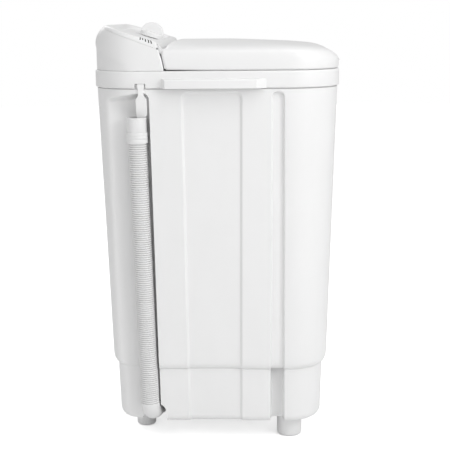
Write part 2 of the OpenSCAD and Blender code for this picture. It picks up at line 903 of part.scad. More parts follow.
// Belt path: arcs on both pulleys joined by their outer tangents
belt_span = norm([motor_x, motor_y]);
belt_turn = atan2(motor_y, motor_x);
belt_lean = acos((large_pulley_d - small_pulley_d) / 2 / belt_span);
function arc(c, r, from, to, n) = [for (i = [0:n])
    let (a = from + (to - from) * i / n) [c + r * cos(a), r * sin(a)]];

module belt_outline(shift) {
    polygon(concat(arc(0, large_pulley_d / 2 + shift, belt_lean, 360 - belt_lean, 48),
        arc(belt_span, small_pulley_d / 2 + shift, -belt_lean, belt_lean, 24)));
}

module drive_belt() {
    color(black) at_body() translate([0, 0, pulley_z - belt_w / 2 + 1.4]) rotate(belt_turn)
        linear_extrude(belt_w - 2.8) difference() {
            belt_outline(belt_t / 2);
            belt_outline(-belt_t / 2 + 1);
        }
}

// Motor, hung from the tub floor with its shaft down
motor_low = pulley_z + 21;
motor_top = motor_low + motor_height;
motor_shaft_r = 5;
shield_h = 14;
bracket_t = 3.5;

module at_motor() {
    at_body() translate([motor_x, motor_y, 0]) children();
}

module at_ears(dist) {
    for (a = [45, 165, 285]) rotate(a) translate([dist, 0, 0]) children();
}

ear_dist = motor_d / 2 + 15;

module motor_stator() {
    r = motor_d / 2;
    color(steel) at_motor() difference() {
        translate([0, 0, motor_low + shield_h]) cylinder(motor_height - 2 * shield_h, r = r - 3);
        translate([0, 0, motor_low]) cylinder(motor_height, r = r * 0.52);
        for (i = [0:23]) rotate(15 * i) translate([r - 3, 0, motor_low])
            cylinder(motor_height, r = 1.6, $fn = 16);
    }
}

module shield(z, flip) {
    r = motor_d / 2;
    translate([0, 0, z]) mirror([0, 0, flip]) difference() {
        rotate_extrude() polygon([[motor_shaft_r + running_gap, 0], [r * 0.6, 0], [r - 6, 3],
            [r, 8], [r, shield_h + 4], [r - 3 + 0.05, shield_h + 4], [r - 3 + 0.05, shield_h],
            [r * 0.62, shield_h], [r * 0.55, 5], [14, 5], [14, 10], [motor_shaft_r + running_gap, 10]]);
        for (i = [0:7]) rotate(45 * i + 22.5) translate([r * 0.72, 0, -1]) cylinder(20, r = 5);
    }
}

module motor_shields() {
    color(grey) at_motor() {
        shield(motor_low, 0);
        shield(motor_top, 1);
    }
}

module motor_shaft() {
    low = pulley_z - pulley_t / 2 - 3;
    color(steel) at_motor() {
        translate([0, 0, low]) cylinder(motor_top - 1 - low, r = motor_shaft_r);
        translate([0, 0, motor_low + shield_h + 2])
            cylinder(motor_height - 2 * shield_h - 4, r = motor_d / 2 * 0.52 - 0.5);
    }
}

module motor_pulley() {
    color(grey) at_motor() translate([0, 0, pulley_z])
        grooved(small_pulley_d / 2, motor_shaft_r + 0.02);
}

module motor_fan() {
    z = pulley_z + pulley_t / 2;
    blade = 9;
    color(black) at_motor() {
        ring(z, 2, 34, motor_shaft_r + 0.02);
        ring(z, blade, 10, motor_shaft_r + 0.02);
        for (i = [0:7]) rotate(45 * i) translate([9, -1, z + 1]) cube([25, 2, blade - 1]);
    }
}

module motor_bracket() {
    color(steel) at_motor() difference() {
        translate([0, 0, motor_top]) linear_extrude(bracket_t) union() {
            circle(motor_d / 2);
            for (a = [45, 165, 285]) rotate(a) {
                translate([0, -13]) square([ear_dist, 26]);
                translate([ear_dist, 0]) circle(13);
            }
        }
        translate([0, 0, motor_top - 1]) cylinder(bracket_t + 2, r = 16);
        at_ears(ear_dist) translate([0, 0, motor_top - 1]) cylinder(bracket_t + 2, r = 3.2);
    }
}

module rubber_mounts() {
    low = motor_top + bracket_t;
    h = floor_z - low;
    color(black) at_motor() at_ears(ear_dist) rotate_extrude()
        polygon([[0, low], [11, low], [11, low + h * 0.3], [8, low + h * 0.45],
            [8, low + h * 0.55], [11, low + h * 0.7], [11, low + h], [0, low + h]]);
}

cap_place = [-tub_width / 4 + 16, -tub_depth / 4 + 21];
cap_r = 18;
cap_h = 62;

module capacitor() {
    color(grey) at_body() translate([cap_place[0], cap_place[1], floor_z - 6 - cap_h]) union() {
        cylinder(cap_h, r = cap_r);
        for (x = [-6, 6]) translate([x - 3, -0.5, -7]) cube([6, 1, 8]);
    }
}

module capacitor_clip() {
    mid = floor_z - 30;
    color(steel) at_body() translate([cap_place[0], cap_place[1], 0]) union() {
        difference() {
            translate([0, 0, mid]) cylinder(14, r = cap_r + 1.6);
            translate([0, 0, mid - 1]) cylinder(16, r = cap_r + 0.05);
            translate([-4, 0, mid - 1]) cube([8, cap_r + 5, 16]);
        }
        translate([-8, -cap_r - 1.6, mid]) cube([16, 1.5, floor_z - mid]);
        translate([-8, -cap_r - 22, floor_z - 1.5]) cube([16, 21, 1.5]);
    }
}

// Drain: outlet pipe, elbow, hose and what hangs it
module at_drain_line() {
    at_body() drain_line() children();
}

// A quarter turn of pipe in the X and Z plane, about its centre of bend
module pipe_turn(bend, outer, inner, from) {
    rotate([90, 0, 0]) rotate([0, 0, from]) rotate_extrude(angle = 90)
        translate([bend, 0]) difference() {
            circle(outer);
            circle(inner);
        }
}

module pipe_x(from, to, z, outer, inner) {
    translate([from, 0, z]) rotate([0, 90, 0]) difference() {
        cylinder(to - from, r = outer);
        translate([0, 0, -1]) cylinder(to - from + 2, r = inner);
    }
}

outlet_inner = spigot_r - 2.6;
outlet_turn_x = drain_run - pipe_bend;
outlet_end = outlet_turn_x - 26;

module drain_outlet() {
    color(grey) at_drain_line() {
        translate([drain_run, 0, 0]) {
            ring(elbow_z + pipe_bend, floor_z + 4 - elbow_z - pipe_bend, spigot_r, outlet_inner);
            ring(floor_z - 4, 4, spigot_r + 10, spigot_r - 1);
        }
        translate([outlet_turn_x, 0, elbow_z + pipe_bend])
            pipe_turn(pipe_bend, spigot_r, outlet_inner, 270);
        pipe_x(outlet_end, outlet_turn_x, elbow_z, spigot_r, outlet_inner);
    }
}

module drain_strainer() {
    color(grey) at_drain_line() translate([drain_run, 0, floor_top]) difference() {
        union() {
            cylinder(2.4, r = spigot_r + 9);
            translate([0, 0, -3]) cylinder(4, r = outlet_inner - 0.3);
        }
        for (i = [0:7]) rotate(45 * i) translate([8.5, 0, -4]) cylinder(8, r = 2.4);
        translate([0, 0, -4]) cylinder(8, r = 2.8);
    }
}

// The elbow's mouth is cut square to the hose that stands on it
module hose_elbow() {
    bore = spigot_r + seat_gap;
    color(white) at_body() difference() {
        drain_line() {
            translate([elbow_r, 0, hose_low]) pipe_turn(elbow_r, elbow_out_r, bore, 180);
            pipe_x(elbow_r, outlet_turn_x - 4, elbow_z, elbow_out_r, bore);
            ring(hose_low, 3, elbow_out_r, bore);
        }
        on_hose(hose_low) translate([-30, -30, 0]) cube([60, 60, 20]);
    }
}

module hose_clamp() {
    band_x = outlet_turn_x - 18;
    band_w = 9;
    color(steel) at_drain_line() {
        pipe_x(band_x, band_x + band_w, elbow_z, elbow_out_r + 1.6, elbow_out_r + 0.05);
        translate([band_x, -4, elbow_z + elbow_out_r + 1]) cube([band_w, 8, 8]);
    }
}

hose_root_r = hose_d / 2 - 2;
rib_pitch = hose_length / rib_count;

// Side of the ribbed hose: foot, crest and foot of each rib in turn
rib_points = [for (i = [0:rib_count - 1], p = [[0.12, 0], [0.32, 2], [0.68, 2], [0.88, 0]])
    [hose_root_r + p[1], (i + p[0]) * rib_pitch]];

module drain_hose() {
    color(white) at_body() on_hose(hose_low) rotate_extrude($fn = 48)
        polygon(concat([[hose_bore / 2, 0], [hose_root_r, 0]], rib_points,
            [[hose_root_r, hose_length], [hose_bore / 2, hose_length]]));
}

collar_out_r = hose_d / 2 + 2.2;
cuff_out_r = hose_d / 2 + 1;

module hose_collar() {
    color(white) at_body() on_hose(hose_low) translate([0, 0, hose_length]) rotate_extrude()
        polygon([[hose_bore / 2, 0], [collar_out_r - 1, 0], [collar_out_r, 1],
            [collar_out_r, collar_h - 1], [collar_out_r - 1, collar_h], [hose_bore / 2, collar_h]]);
}

module hose_cuff() {
    lo = hose_length + collar_h;
    color(white) at_body() on_hose(hose_low) rotate_extrude()
        polygon([[hose_bore / 2 + 1, lo], [cuff_out_r, lo], [cuff_out_r - 0.6, lo + cuff_h - 3],
            [cuff_out_r + 0.4, lo + cuff_h - 3], [cuff_out_r + 0.4, lo + cuff_h],
            [hose_bore / 2 + 1, lo + cuff_h]]);
}

hook_t = 3;

// Flat hook: head in the rim's notch, narrow neck, broad blade, then a tip that goes in the cuff
module hose_hook() {
    face = -(rim_half_x - 0.1);
    head_top = rim_z + hook_head_h;
    bend_z = pocket_top - 3;
    tip_z = mouth_z - 14;
    tip_x = hose_x(tip_z);
    neck_z = rim_z - 16;
    blade_z = neck_z - 6;
    blade_low = mouth_z + 3;
    tip_mid = 4;
    head = hook_head_w / 2;
    neck = hook_neck_w / 2;
    blade = hook_blade_w / 2;
    color(white) at_body() translate([0, hook_y, 0]) intersection() {
        rotate([90, 0, 0]) translate([0, 0, -30]) linear_extrude(60)
            polygon([[face, head_top], [face, bend_z], [tip_x, tip_z], [tip_x + hook_t, tip_z],
                [face + hook_t, bend_z + 1], [face + hook_t, head_top]]);
        rotate([90, 0, 90]) translate([0, 0, -big / 2]) linear_extrude(big)
            polygon([[head, head_top], [head, rim_z], [neck, rim_z - 1], [neck, neck_z],
                [blade, blade_z], [blade, blade_low], [tip_mid + neck, mouth_z + 1],
                [tip_mid + neck, tip_z - 1], [tip_mid - neck, tip_z - 1],
                [tip_mid - neck, mouth_z + 1], [-blade, blade_low], [-blade, blade_z],
                [-neck, neck_z], [-neck, rim_z - 1], [-head, rim_z], [-head, head_top]]);
    }
}

module cord_gland() {
    y = corner_y + corner_r + lean(gland_z) - tuck;
    color(black) at_body() translate([gland_x, y, gland_z]) rotate([-90, 0, 0]) difference() {
        union() {
            translate([0, 0, -wall - 4]) cylinder(wall + 7, r = gland_r);
            translate([0, 0, 0.2]) cylinder(3.5, r = gland_r + 3);
            translate([0, 0, -wall - 5]) cylinder(4.4, r = gland_r + 3);
        }
        translate([0, 0, -20]) cylinder(40, r = 3.6);
    }
}

module terminal_block() {
    color(white) at_body() translate([150, -70, floor_z - 14]) difference() {
        translate([-15, -32, 0]) cube([30, 64, 14]);
        for (x = [-8, 8], i = [0:3]) translate([x, -24 + 16 * i, -1]) cylinder(8, r = 3.4);
    }
}

module screw(head_r, head_h, r, length) {
    translate([0, 0, -head_h]) cylinder(head_h, r = head_r);
    translate([0, 0, -0.5]) cylinder(length, r = r);
}

module housing_screws() {
    color(steel) at_body() at_housing_screws() translate([0, 0, floor_z - flange_t])
        screw(5, 3.4, 2.6, flange_t);
}

module base_screws() {
    color(steel) at_body() at_base_screws() translate([0, 0, part_z - 8]) screw(5, 3.4, 2, 28);
}

module console_screws() {
    color(steel) at_body() at_console_screws() translate([0, 0, deck_z - plate_t])
        screw(4, 2.6, 1.6, 20);
}

base_skirt();
front_feet();
rear_feet();
tub();
rim_frame();
console_housing();
fascia_panel();
timer_knob();
timer_shaft();
timer_body();
lid();
hinge_pins();
agitator();
agitator_cap();
drive_shaft();
bearing_housing();
shaft_bearings();
shaft_seal();
large_pulley();
pulley_nut();
drive_belt();
motor_stator();
motor_shields();
motor_shaft();
motor_pulley();
motor_fan();
motor_bracket();
rubber_mounts();
capacitor();
capacitor_clip();
drain_outlet();
drain_strainer();
hose_elbow();
hose_clamp();
drain_hose();
hose_collar();
hose_cuff();
hose_hook();
cord_gland();
terminal_block();
housing_screws();
base_screws();
console_screws();
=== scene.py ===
import json
from math import cos, pi, radians, sin

import bmesh
import bpy
from mathutils import Matrix, Vector


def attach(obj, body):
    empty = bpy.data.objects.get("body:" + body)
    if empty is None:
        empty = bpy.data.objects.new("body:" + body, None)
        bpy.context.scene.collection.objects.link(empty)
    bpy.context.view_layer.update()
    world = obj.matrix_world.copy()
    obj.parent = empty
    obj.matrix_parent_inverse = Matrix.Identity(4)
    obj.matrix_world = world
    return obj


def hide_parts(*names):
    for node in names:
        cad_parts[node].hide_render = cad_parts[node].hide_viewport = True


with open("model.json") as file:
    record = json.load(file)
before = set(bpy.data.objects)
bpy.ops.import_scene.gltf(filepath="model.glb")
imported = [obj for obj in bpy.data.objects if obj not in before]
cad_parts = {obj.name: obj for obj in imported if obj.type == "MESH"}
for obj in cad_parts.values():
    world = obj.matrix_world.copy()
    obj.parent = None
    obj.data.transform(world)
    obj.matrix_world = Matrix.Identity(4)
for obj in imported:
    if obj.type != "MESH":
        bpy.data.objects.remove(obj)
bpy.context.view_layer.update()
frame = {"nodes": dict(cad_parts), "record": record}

mm = 0.001


def link(name, mesh):
    """A new object on the scene's collection"""
    item = bpy.data.objects.new(name, mesh)
    bpy.context.scene.collection.objects.link(item)
    return item


# Camera, at the photograph's angle
camera_place = (-2.3869, -0.1000, 0.9117)
camera_turn = radians(272.30)
camera_pitch = radians(11.06)
camera_roll = radians(-0.52)
camera_lens = 85.04
sensor = 36.0


def make_camera():
    data = bpy.data.cameras.new("camera")
    data.lens = camera_lens
    data.sensor_width = sensor
    camera = link("camera", data)
    ahead = Vector((-sin(camera_turn) * cos(camera_pitch), cos(camera_turn) * cos(camera_pitch),
                    -sin(camera_pitch)))
    level = ahead.cross(Vector((0, 0, 1))).normalized()
    above = level.cross(ahead)
    right = level * cos(camera_roll) + above * sin(camera_roll)
    up = above * cos(camera_roll) - level * sin(camera_roll)
    turn = Matrix((right, up, -ahead)).transposed().to_4x4()
    camera.matrix_world = Matrix.Translation(camera_place) @ turn
    bpy.context.scene.camera = camera


class Socket:
    """A node's output; arithmetic on it adds Math nodes"""

    def __init__(self, paint, socket):
        self.paint = paint
        self.socket = socket

    def math(self, operation, *others):
        """Math node on this value and the others"""
        return self.paint.math(operation, self, *others)

    def __add__(self, other):
        return self.math("ADD", other)

    def __sub__(self, other):
        return self.math("SUBTRACT", other)

    def __rsub__(self, other):
        return self.paint.math("SUBTRACT", other, self)

    def __mul__(self, other):
        return self.math("MULTIPLY", other)

    def __truediv__(self, other):
        return self.math("DIVIDE", other)

    def __rtruediv__(self, other):
        return self.paint.math("DIVIDE", other, self)

    __radd__ = __add__
    __rmul__ = __mul__


# Colour sockets of a Mix node
mix_first, mix_second, mix_result = 6, 7, 2


class Paint:
    """One material and its node tree"""

    def __init__(self, name):
        self.material = bpy.data.materials.new(name)
        self.material.use_nodes = True
        self.tree = self.material.node_tree
        self.tree.nodes.clear()
        self.place = self.node("ShaderNodeTexCoord", output="Object")

    def node(self, kind, settings=None, inputs=None, output=0):
        """Adds a node, with its settings first and then its sockets' values or links"""
        made = self.tree.nodes.new(kind)
        for key, value in (settings or {}).items():
            setattr(made, key, value)
        for key, value in (inputs or {}).items():
            if isinstance(value, Socket):
                self.tree.links.new(value.socket, made.inputs[key])
            else:
                made.inputs[key].default_value = value
        if not made.outputs:
            return made
        return Socket(self, made.outputs[output])

    def math(self, operation, *terms):
        return self.node("ShaderNodeMath", {"operation": operation}, dict(enumerate(terms)))

    def noise(self, scale, detail=2, rough=0.5, stretch=(1, 1, 1)):
        """Noise from 0 to 1, scale in waves per metre"""
        place = self.node("ShaderNodeMapping", {}, {"Vector": self.place, "Scale": stretch})
        return self.node("ShaderNodeTexNoise", {}, {"Vector": place, "Scale": scale,
                                                    "Detail": detail, "Roughness": rough})

    def blend(self, amount, first, second):
        """Colour mix: first where amount is 0, second where it is 1"""
        values = {"Factor": amount, mix_first: first, mix_second: second}
        return self.node("ShaderNodeMix", {"data_type": "RGBA", "clamp_factor": True}, values, mix_result)

    def limit(self, value, low, high, start=0.0, end=1.0):
        """Value taken from low..high to start..end and held there"""
        return self.node("ShaderNodeMapRange", {"clamp": True}, {
            "Value": value, "From Min": low, "From Max": high, "To Min": start, "To Max": end})

    def bump(self, height, strength, distance, under=None):
        """Normal raised by height, on top of the normal under it"""
        values = {"Height": height, "Strength": strength, "Distance": distance}
        if under:
            values["Normal"] = under
        return self.node("ShaderNodeBump", {}, values)

    def finish(self, colour, roughness, normal, **plain):
        """The shader: colour, roughness and normal may vary, the rest is the same all over"""
        values = {"Base Color": colour, "Roughness": roughness, "Normal": normal}
        values.update({key.replace("_", " "): value for key, value in plain.items()})
        shader = self.node("ShaderNodeBsdfPrincipled", {}, values)
        self.node("ShaderNodeOutputMaterial", {}, {"Surface": shader})
        return self.material


def tone(value, warm=0.0):
    """A near grey, a little warm or cold"""
    return (value + warm, value, value - warm, 1)


def moulded(name, colour, darker, rough, grain, depth, coat=0.0):
    """Injection-moulded plastic: cloudy tone, faint flow marks and a fine grain"""
    paint = Paint(name)
    cloud = paint.noise(7, 3)
    flow = paint.noise(26, 2, 0.5, (1, 1, 0.25))
    wave = paint.noise(14, 1, 0.5, (1, 1, 0.4))
    fine = paint.noise(grain, 2)
    worn = paint.noise(60, 2)
    shade = paint.limit(cloud * 0.6 + flow * 0.4, 0.3, 0.7)
    gloss = paint.limit(worn, 0.35, 0.75, rough - 0.03, rough + 0.05) + fine * 0.03
    normal = paint.bump(wave, 0.2, 0.0001, paint.bump(fine, 0.5, depth))
    return paint.finish(paint.blend(shade, darker, colour), gloss, normal,
                        Coat_Weight=coat, Coat_Roughness=0.08)


def ribbed(name, colour, darker, rough, low, pitch, high):
    """Moulded plastic with painted shade in the valleys between ribs, which repeat along Z"""
    paint = Paint(name)
    height = paint.node("ShaderNodeSeparateXYZ", {}, {"Vector": paint.place}, 2)
    wave = ((height - low) / pitch).math("FRACT")
    # Painted shade: darker in the valleys between the ribs, on the ribbed length only
    valley_shade = paint.limit((wave - 0.55).math("ABSOLUTE"), 0.28, 0.48)
    below_collar = paint.limit(height, high - 0.002, high - 0.0015, 1, 0)
    on_ribs = below_collar * paint.limit(height, low, low + 0.0005)
    cloud = paint.noise(30, 3)
    fine = paint.noise(700, 2)
    # The painted valley shade, plus a cloudy tone that varies at random
    shade = paint.limit(valley_shade * on_ribs * 0.8 + (cloud - 0.5) * 0.3, 0, 1)
    gloss = paint.limit(cloud, 0.3, 0.7, rough - 0.04, rough + 0.05)
    return paint.finish(paint.blend(shade, colour, darker), gloss, paint.bump(fine, 0.4, 0.000008),
                        Coat_Weight=0.1, Coat_Roughness=0.1)


def metal(name, colour, darker, rough, stretch=(1, 1, 1), grain=300, depth=0.00002):
    """Metal with a drawn or cast grain, and a little staining"""
    paint = Paint(name)
    lines = paint.noise(grain, 4, 0.7, stretch)
    stain = paint.noise(22, 4, 0.6)
    shade = paint.limit(stain + lines * 0.5, 0.5, 1.0)
    gloss = paint.limit(lines, 0.3, 0.7, rough - 0.08, rough + 0.1)
    return paint.finish(paint.blend(shade, darker, colour), gloss,
                        paint.bump(lines, 0.4, depth), Metallic=1.0)


# Drain hose: heights of its lower end, its collar and its open mouth, in millimetres, and its ribs
hose_low, collar_low, hose_mouth = 97, 660.5, 713
hose_top = collar_low + 2
rib_count = 122
rib_pitch = (hose_top - hose_low) / rib_count


materials = {
    "white_shell": moulded("white_shell", tone(0.87), tone(0.85), 0.4, 500, 0.0000015, coat=0.08),
    "white_trim": moulded("white_trim", tone(0.9), tone(0.88), 0.34, 500, 0.000001, coat=0.1),
    # Hose: its darker tone is the painted shade in the valleys between the ribs
    "hose_plastic": ribbed("hose_plastic", tone(0.82), tone(0.42, 0.004), 0.38,
                           hose_low * mm, rib_pitch * mm, collar_low * mm),
    "grey_plastic": moulded("grey_plastic", tone(0.22, -0.003), tone(0.18, -0.003), 0.5, 600, 0.00008),
    "black_plastic": moulded("black_plastic", tone(0.03), tone(0.018), 0.45, 600, 0.00008),
    "black_rubber": moulded("black_rubber", tone(0.022), tone(0.012), 0.72, 500, 0.0001),
    "steel": metal("steel", tone(0.56, -0.004), tone(0.42), 0.3, (1, 1, 0.1)),
    "cast_alloy": metal("cast_alloy", tone(0.6), tone(0.5), 0.48, grain=420, depth=0.00006),
    "bronze": metal("bronze", (0.45, 0.3, 0.12, 1), (0.3, 0.19, 0.08, 1), 0.4),
}


def dress_nodes():
    """Every carried-over node gets the material of its slot in the record"""
    for row in frame["record"]["subparts"]:
        mesh = frame["nodes"][row["node"]].data
        mesh.materials.clear()
        mesh.materials.append(materials[row["material_slot"]])


# Floor: its radius, how far the machine shades it, and its glow in the shade and in the open
floor_radius, shade_reach = 9, 0.11
glow_shaded, glow_open = 0.05, 0.66


def make_floor():
    """Pale floor that glows a little in the camera's eye, except where the machine shades it"""
    mesh = bpy.data.meshes.new("floor")
    shape = bmesh.new()
    bmesh.ops.create_circle(shape, cap_ends=True, segments=96, radius=floor_radius)
    shape.to_mesh(mesh)
    shape.free()
    floor = link("floor", mesh)
    paint = Paint("floor")
    ray = paint.node("ShaderNodeLightPath", {}, output="Is Camera Ray")
    lit = paint.node("ShaderNodeBsdfDiffuse", {}, {"Color": tone(0.92)})
    open_share = paint.node("ShaderNodeAmbientOcclusion", {"samples": 8}, {"Distance": shade_reach}, 1)
    strength = paint.limit(open_share, 0.03, 0.3, glow_shaded, glow_open)
    glow = paint.node("ShaderNodeEmission", {}, {"Color": tone(1), "Strength": strength})
    seen = paint.node("ShaderNodeAddShader", {}, {0: lit, 1: glow})
    mixed = paint.node("ShaderNodeMixShader", {}, {0: ray, 1: lit, 2: seen})
    paint.node("ShaderNodeOutputMaterial", {}, {"Surface": mixed})
    mesh.materials.append(paint.material)


# World light on the machine, and as the camera sees it
world_light, world_seen = 0.55, 1.0
# Lamps: name, place, height of the point on the machine's middle they face, width and power
lamps = (
    ("key", (-1.75, -1.7, 1.6), 0.55, 1.1, 20),
    ("top", (-1.3, -0.7, 2.7), 0.6, 1.2, 13),
    ("side", (-2.4, 1.7, 1.0), 0.5, 1.4, 6),
    ("back", (2.4, 1.2, 2.2), 0.5, 1.8, 14),
)


def make_light():
    world = bpy.data.worlds.new("studio")
    bpy.context.scene.world = world
    world.use_nodes = True
    tree = world.node_tree
    tree.nodes["Background"].inputs["Color"].default_value = (1, 1, 1, 1)
    ray = tree.nodes.new("ShaderNodeLightPath")
    strength = tree.nodes.new("ShaderNodeMix")
    factor, unseen, seen = (strength.inputs[k] for k in (0, 2, 3))
    unseen.default_value = world_light
    seen.default_value = world_seen
    tree.links.new(ray.outputs["Is Camera Ray"], factor)
    tree.links.new(strength.outputs[0], tree.nodes["Background"].inputs["Strength"])
    for name, place, aim, width, power in lamps:
        data = bpy.data.lights.new(name, "AREA")
        data.shape = "DISK"
        data.size = width
        data.energy = power
        lamp = link(name, data)
        lamp.location = place
        lamp.rotation_euler = (Vector((0, 0, aim)) - Vector(place)).to_track_quat("-Z", "Y").to_euler()


# Sizes are in millimetres from here on. The body's middle, from which Y is drawn, sits 4 mm
# behind the frame's origin
shift = 4
# Corners of the tub where it meets the base, how far its walls spread up to the rim, how far its
# foot draws in, and the wall's thickness
corner_x, corner_y, corner_r = 139, 150, 83
draft, tuck, wall = 18.5, 9, 3.2
# Heights of the base's edge, the parting line, the rim band and the deck
base_z, part_z, rim_z, deck_z = 51, 172, 772, 807
tub_rise = rim_z - part_z
# The tub's floor, the radii of its holes for the shaft's housing and the drain, and the drain's place
floor_low, floor_top = 212, 216
shaft_hole, drain_hole, drain_top = 20.4, 16, (-111.863, 126.012)
# Rim band: half width, half depth and corner radius
rim_x, rim_y, rim_r = 244, 255, 105
# Posts under the tub's floor: place, outer and inner radius
post_x, post_y, post_r, post_bore = 100, 193, 8, 2.1
# Feet: X, Y and diameter of each pair, and the sockets that hold their stems
feet = {"front": (139, -153, 54), "rear": (85, 172, 43)}
socket_r, stem_hole = 13, 9.2
# Hinge line of the lid and the radius of its pins
hinge_y, hinge_z, pin_r = 115, 851, 2.1


def ease(x):
    """Smooth step from 0 to 1"""
    x = min(max(x, 0), 1)
    return x * x * (3 - 2 * x)


def mix(a, b, share):
    return a + (b - a) * share


def soft_min(a, b, reach):
    """The lesser of two values, rounded off where they are within reach"""
    near = max(reach - abs(a - b), 0) / reach
    return min(a, b) - near * near * reach / 4


def steps(breaks):
    """Values from break to break; each break after the first is (value, steps), tuples too"""
    values = [breaks[0]]
    for value, count in breaks[1:]:
        last = values[-1]
        for step in range(1, count + 1):
            share = step / count
            if isinstance(value, tuple):
                values.append(tuple(mix(a, b, share) for a, b in zip(last, value)))
            else:
                values.append(mix(last, value, share))
    return values


def loft(columns, rows, place, ring=True, tube=False):
    """A grid whose vertices go to place(column, row), closed round the columns, or the rows too"""
    form = bmesh.new()
    across = len(columns) if ring else len(columns) - 1
    along = len(rows) if tube else len(rows) - 1
    bmesh.ops.create_grid(form, x_segments=across, y_segments=along, size=1)
    for vert in form.verts:
        i = round((vert.co.x + 1) / 2 * across) % len(columns)
        j = round((vert.co.y + 1) / 2 * along) % len(rows)
        vert.co = Vector(place(columns[i], rows[j])) * mm
    bmesh.ops.remove_doubles(form, verts=form.verts, dist=1e-7)
    return form


def open_edges(form, test=lambda p: True):
    """Open edges whose ends both pass the test"""
    return [edge for edge in form.edges if edge.is_boundary and all(test(v.co / mm) for v in edge.verts)]


def fill(form, test=lambda p: True):
    """Closes the open loop whose edges pass the test"""
    bmesh.ops.contextual_create(form, geom=open_edges(form, test))


def fill_between(form, test):
    """Closes the ring between two open loops whose edges pass the test"""
    bmesh.ops.triangle_fill(form, edges=open_edges(form, test), use_beauty=True)


def add(form, other):
    """Moves another form's shape into this one"""
    mesh = bpy.data.meshes.new("part")
    other.to_mesh(mesh)
    other.free()
    form.from_mesh(mesh)
    bpy.data.meshes.remove(mesh)


def rod(place, low, high, radius, segments=48, axis="Z"):
    """Solid cylinder along an axis, from low to high; place is its spot in the other two"""
    form = bmesh.new()
    bmesh.ops.create_cone(form, cap_ends=True, segments=segments, radius1=radius * mm,
                          radius2=radius * mm, depth=(high - low) * mm)
    middle = (low + high) / 2
    at, about = {"X": ((middle, *place), "Y"), "Y": ((place[0], middle, place[1]), "X"),
                 "Z": ((*place, middle), "Z")}[axis]
    turn = Matrix.Rotation(radians(90), 4, about)
    bmesh.ops.transform(form, matrix=Matrix.Translation(Vector(at) * mm) @ turn, verts=form.verts)
    return form


def turned(profile, place=(0, 0), turns=72, closed=False):
    """A profile of (radius, height) spun round the upright axis at place; closed joins its ends"""
    form = bmesh.new()
    verts = [form.verts.new(Vector((place[0] + r, place[1], z)) * mm) for r, z in profile]
    for pair in zip(verts, verts[1:] + (verts[:1] if closed else [])):
        form.edges.new(pair)
    bmesh.ops.spin(form, geom=form.verts[:] + form.edges[:], cent=Vector((*place, 0)) * mm,
                   axis=(0, 0, 1), angle=2 * pi, steps=turns, use_merge=True)
    bmesh.ops.remove_doubles(form, verts=form.verts, dist=1e-7)
    return form


def pipe(place, low, high, outer, inner, turns=48):
    """Upright tube with square ends"""
    return turned([(outer, low), (outer, high), (inner, high), (inner, low)], place, turns, closed=True)


def block(low, high, edge=0, rounds=1):
    """Box from its low to its high corner, its edges rounded by edge"""
    form = bmesh.new()
    bmesh.ops.create_cube(form, size=1)
    low, high = Vector(low) * mm, Vector(high) * mm
    bmesh.ops.scale(form, vec=high - low, verts=form.verts)
    bmesh.ops.translate(form, vec=(low + high) / 2, verts=form.verts)
    if edge:
        round_edges(form, form.edges[:], edge, rounds)
    return form


def round_edges(form, edges, width, rounds):
    bmesh.ops.bevel(form, geom=edges, offset=width * mm, offset_type="OFFSET", affect="EDGES",
                    segments=rounds, profile=0.5, material=-1)


def piece(name, form, slot, body="root", sharp=32, replaces=()):
    """Turns a form into a piece of the object, dressed and riding on its body"""
    bmesh.ops.recalc_face_normals(form, faces=form.faces)
    mesh = bpy.data.meshes.new(name)
    form.to_mesh(mesh)
    form.free()
    for face in mesh.polygons:
        face.use_smooth = True
    mesh.set_sharp_from_angle(angle=radians(sharp))
    item = link(name, mesh)
    mesh.materials.append(materials[slot])
    if replaces:
        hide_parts(*replaces)
    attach(item, body)
    return item


def cut(form, cutter):
    """The form less the cutter"""
    objects = []
    for shape in (form, cutter):
        bmesh.ops.recalc_face_normals(shape, faces=shape.faces)
        mesh = bpy.data.meshes.new("cut")
        shape.to_mesh(mesh)
        shape.free()
        objects.append(link("cut", mesh))
    modifier = objects[0].modifiers.new("cut", "BOOLEAN")
    modifier.operation = "DIFFERENCE"
    modifier.solver = "EXACT"
    modifier.object = objects[1]
    graph = bpy.context.evaluated_depsgraph_get()
    done = bpy.data.meshes.new_from_object(objects[0].evaluated_get(graph))
    result = bmesh.new()
    result.from_mesh(done)
    for item in objects:
        mesh = item.data
        bpy.data.objects.remove(item)
        bpy.data.meshes.remove(mesh)
    bpy.data.meshes.remove(done)
    return result


# Side relief: the sunk panel, the front groove, deeper in the base, and the hose pocket
panel_mid, panel_half, panel_top, panel_r, panel_depth = 7, 60, 762, 11, 5
groove_mid, groove_half, groove_top = -127.5, 12, 764
tub_groove, base_groove = 8, 24
pocket_front, pocket_top, pocket_depth = 135.5, 761, 32


def inside_corner(dy, dz, r):
    """Distance inside a corner rounded by r"""
    if dy < r and dz < r:
        return r - ((r - dy) ** 2 + (r - dz) ** 2) ** 0.5
    return min(dy, dz)


def relief(y, z, grow, base):
    """How deep the panel and the groove lie at a point of the side; grow widens both"""
    below = (rim_z - z) / tub_rise
    dy = panel_half - 4 * below + grow - abs(y - panel_mid)
    panel = panel_depth * ease(inside_corner(dy, panel_top + grow - z, panel_r + grow) / 6 + 0.5)
    middle = groove_mid + 1.5 * below
    arch_z = groove_top - groove_half
    if z > arch_z:
        dg = groove_half + grow - ((y - middle) ** 2 + (z - arch_z) ** 2) ** 0.5
    else:
        dg = groove_half + 1.5 * below + grow - abs(y - middle)
    depth, soft = (base_groove, 4.5) if base else (tub_groove, 3.5)
    return max(panel, depth * ease(dg / soft + 0.5))


def pocket_share(y, z, grow):
    """Share of the hose pocket's depth at a point of the left side, soft towards the rear"""
    below = (rim_z - z) / tub_rise
    soft = mix(3, 18, ease((y - 145) / 35))
    dy = y - (pocket_front - 7.5 * below) + grow
    return ease(inside_corner(dy, pocket_top + grow - z, 12 + grow) / soft + 1.5 / soft)


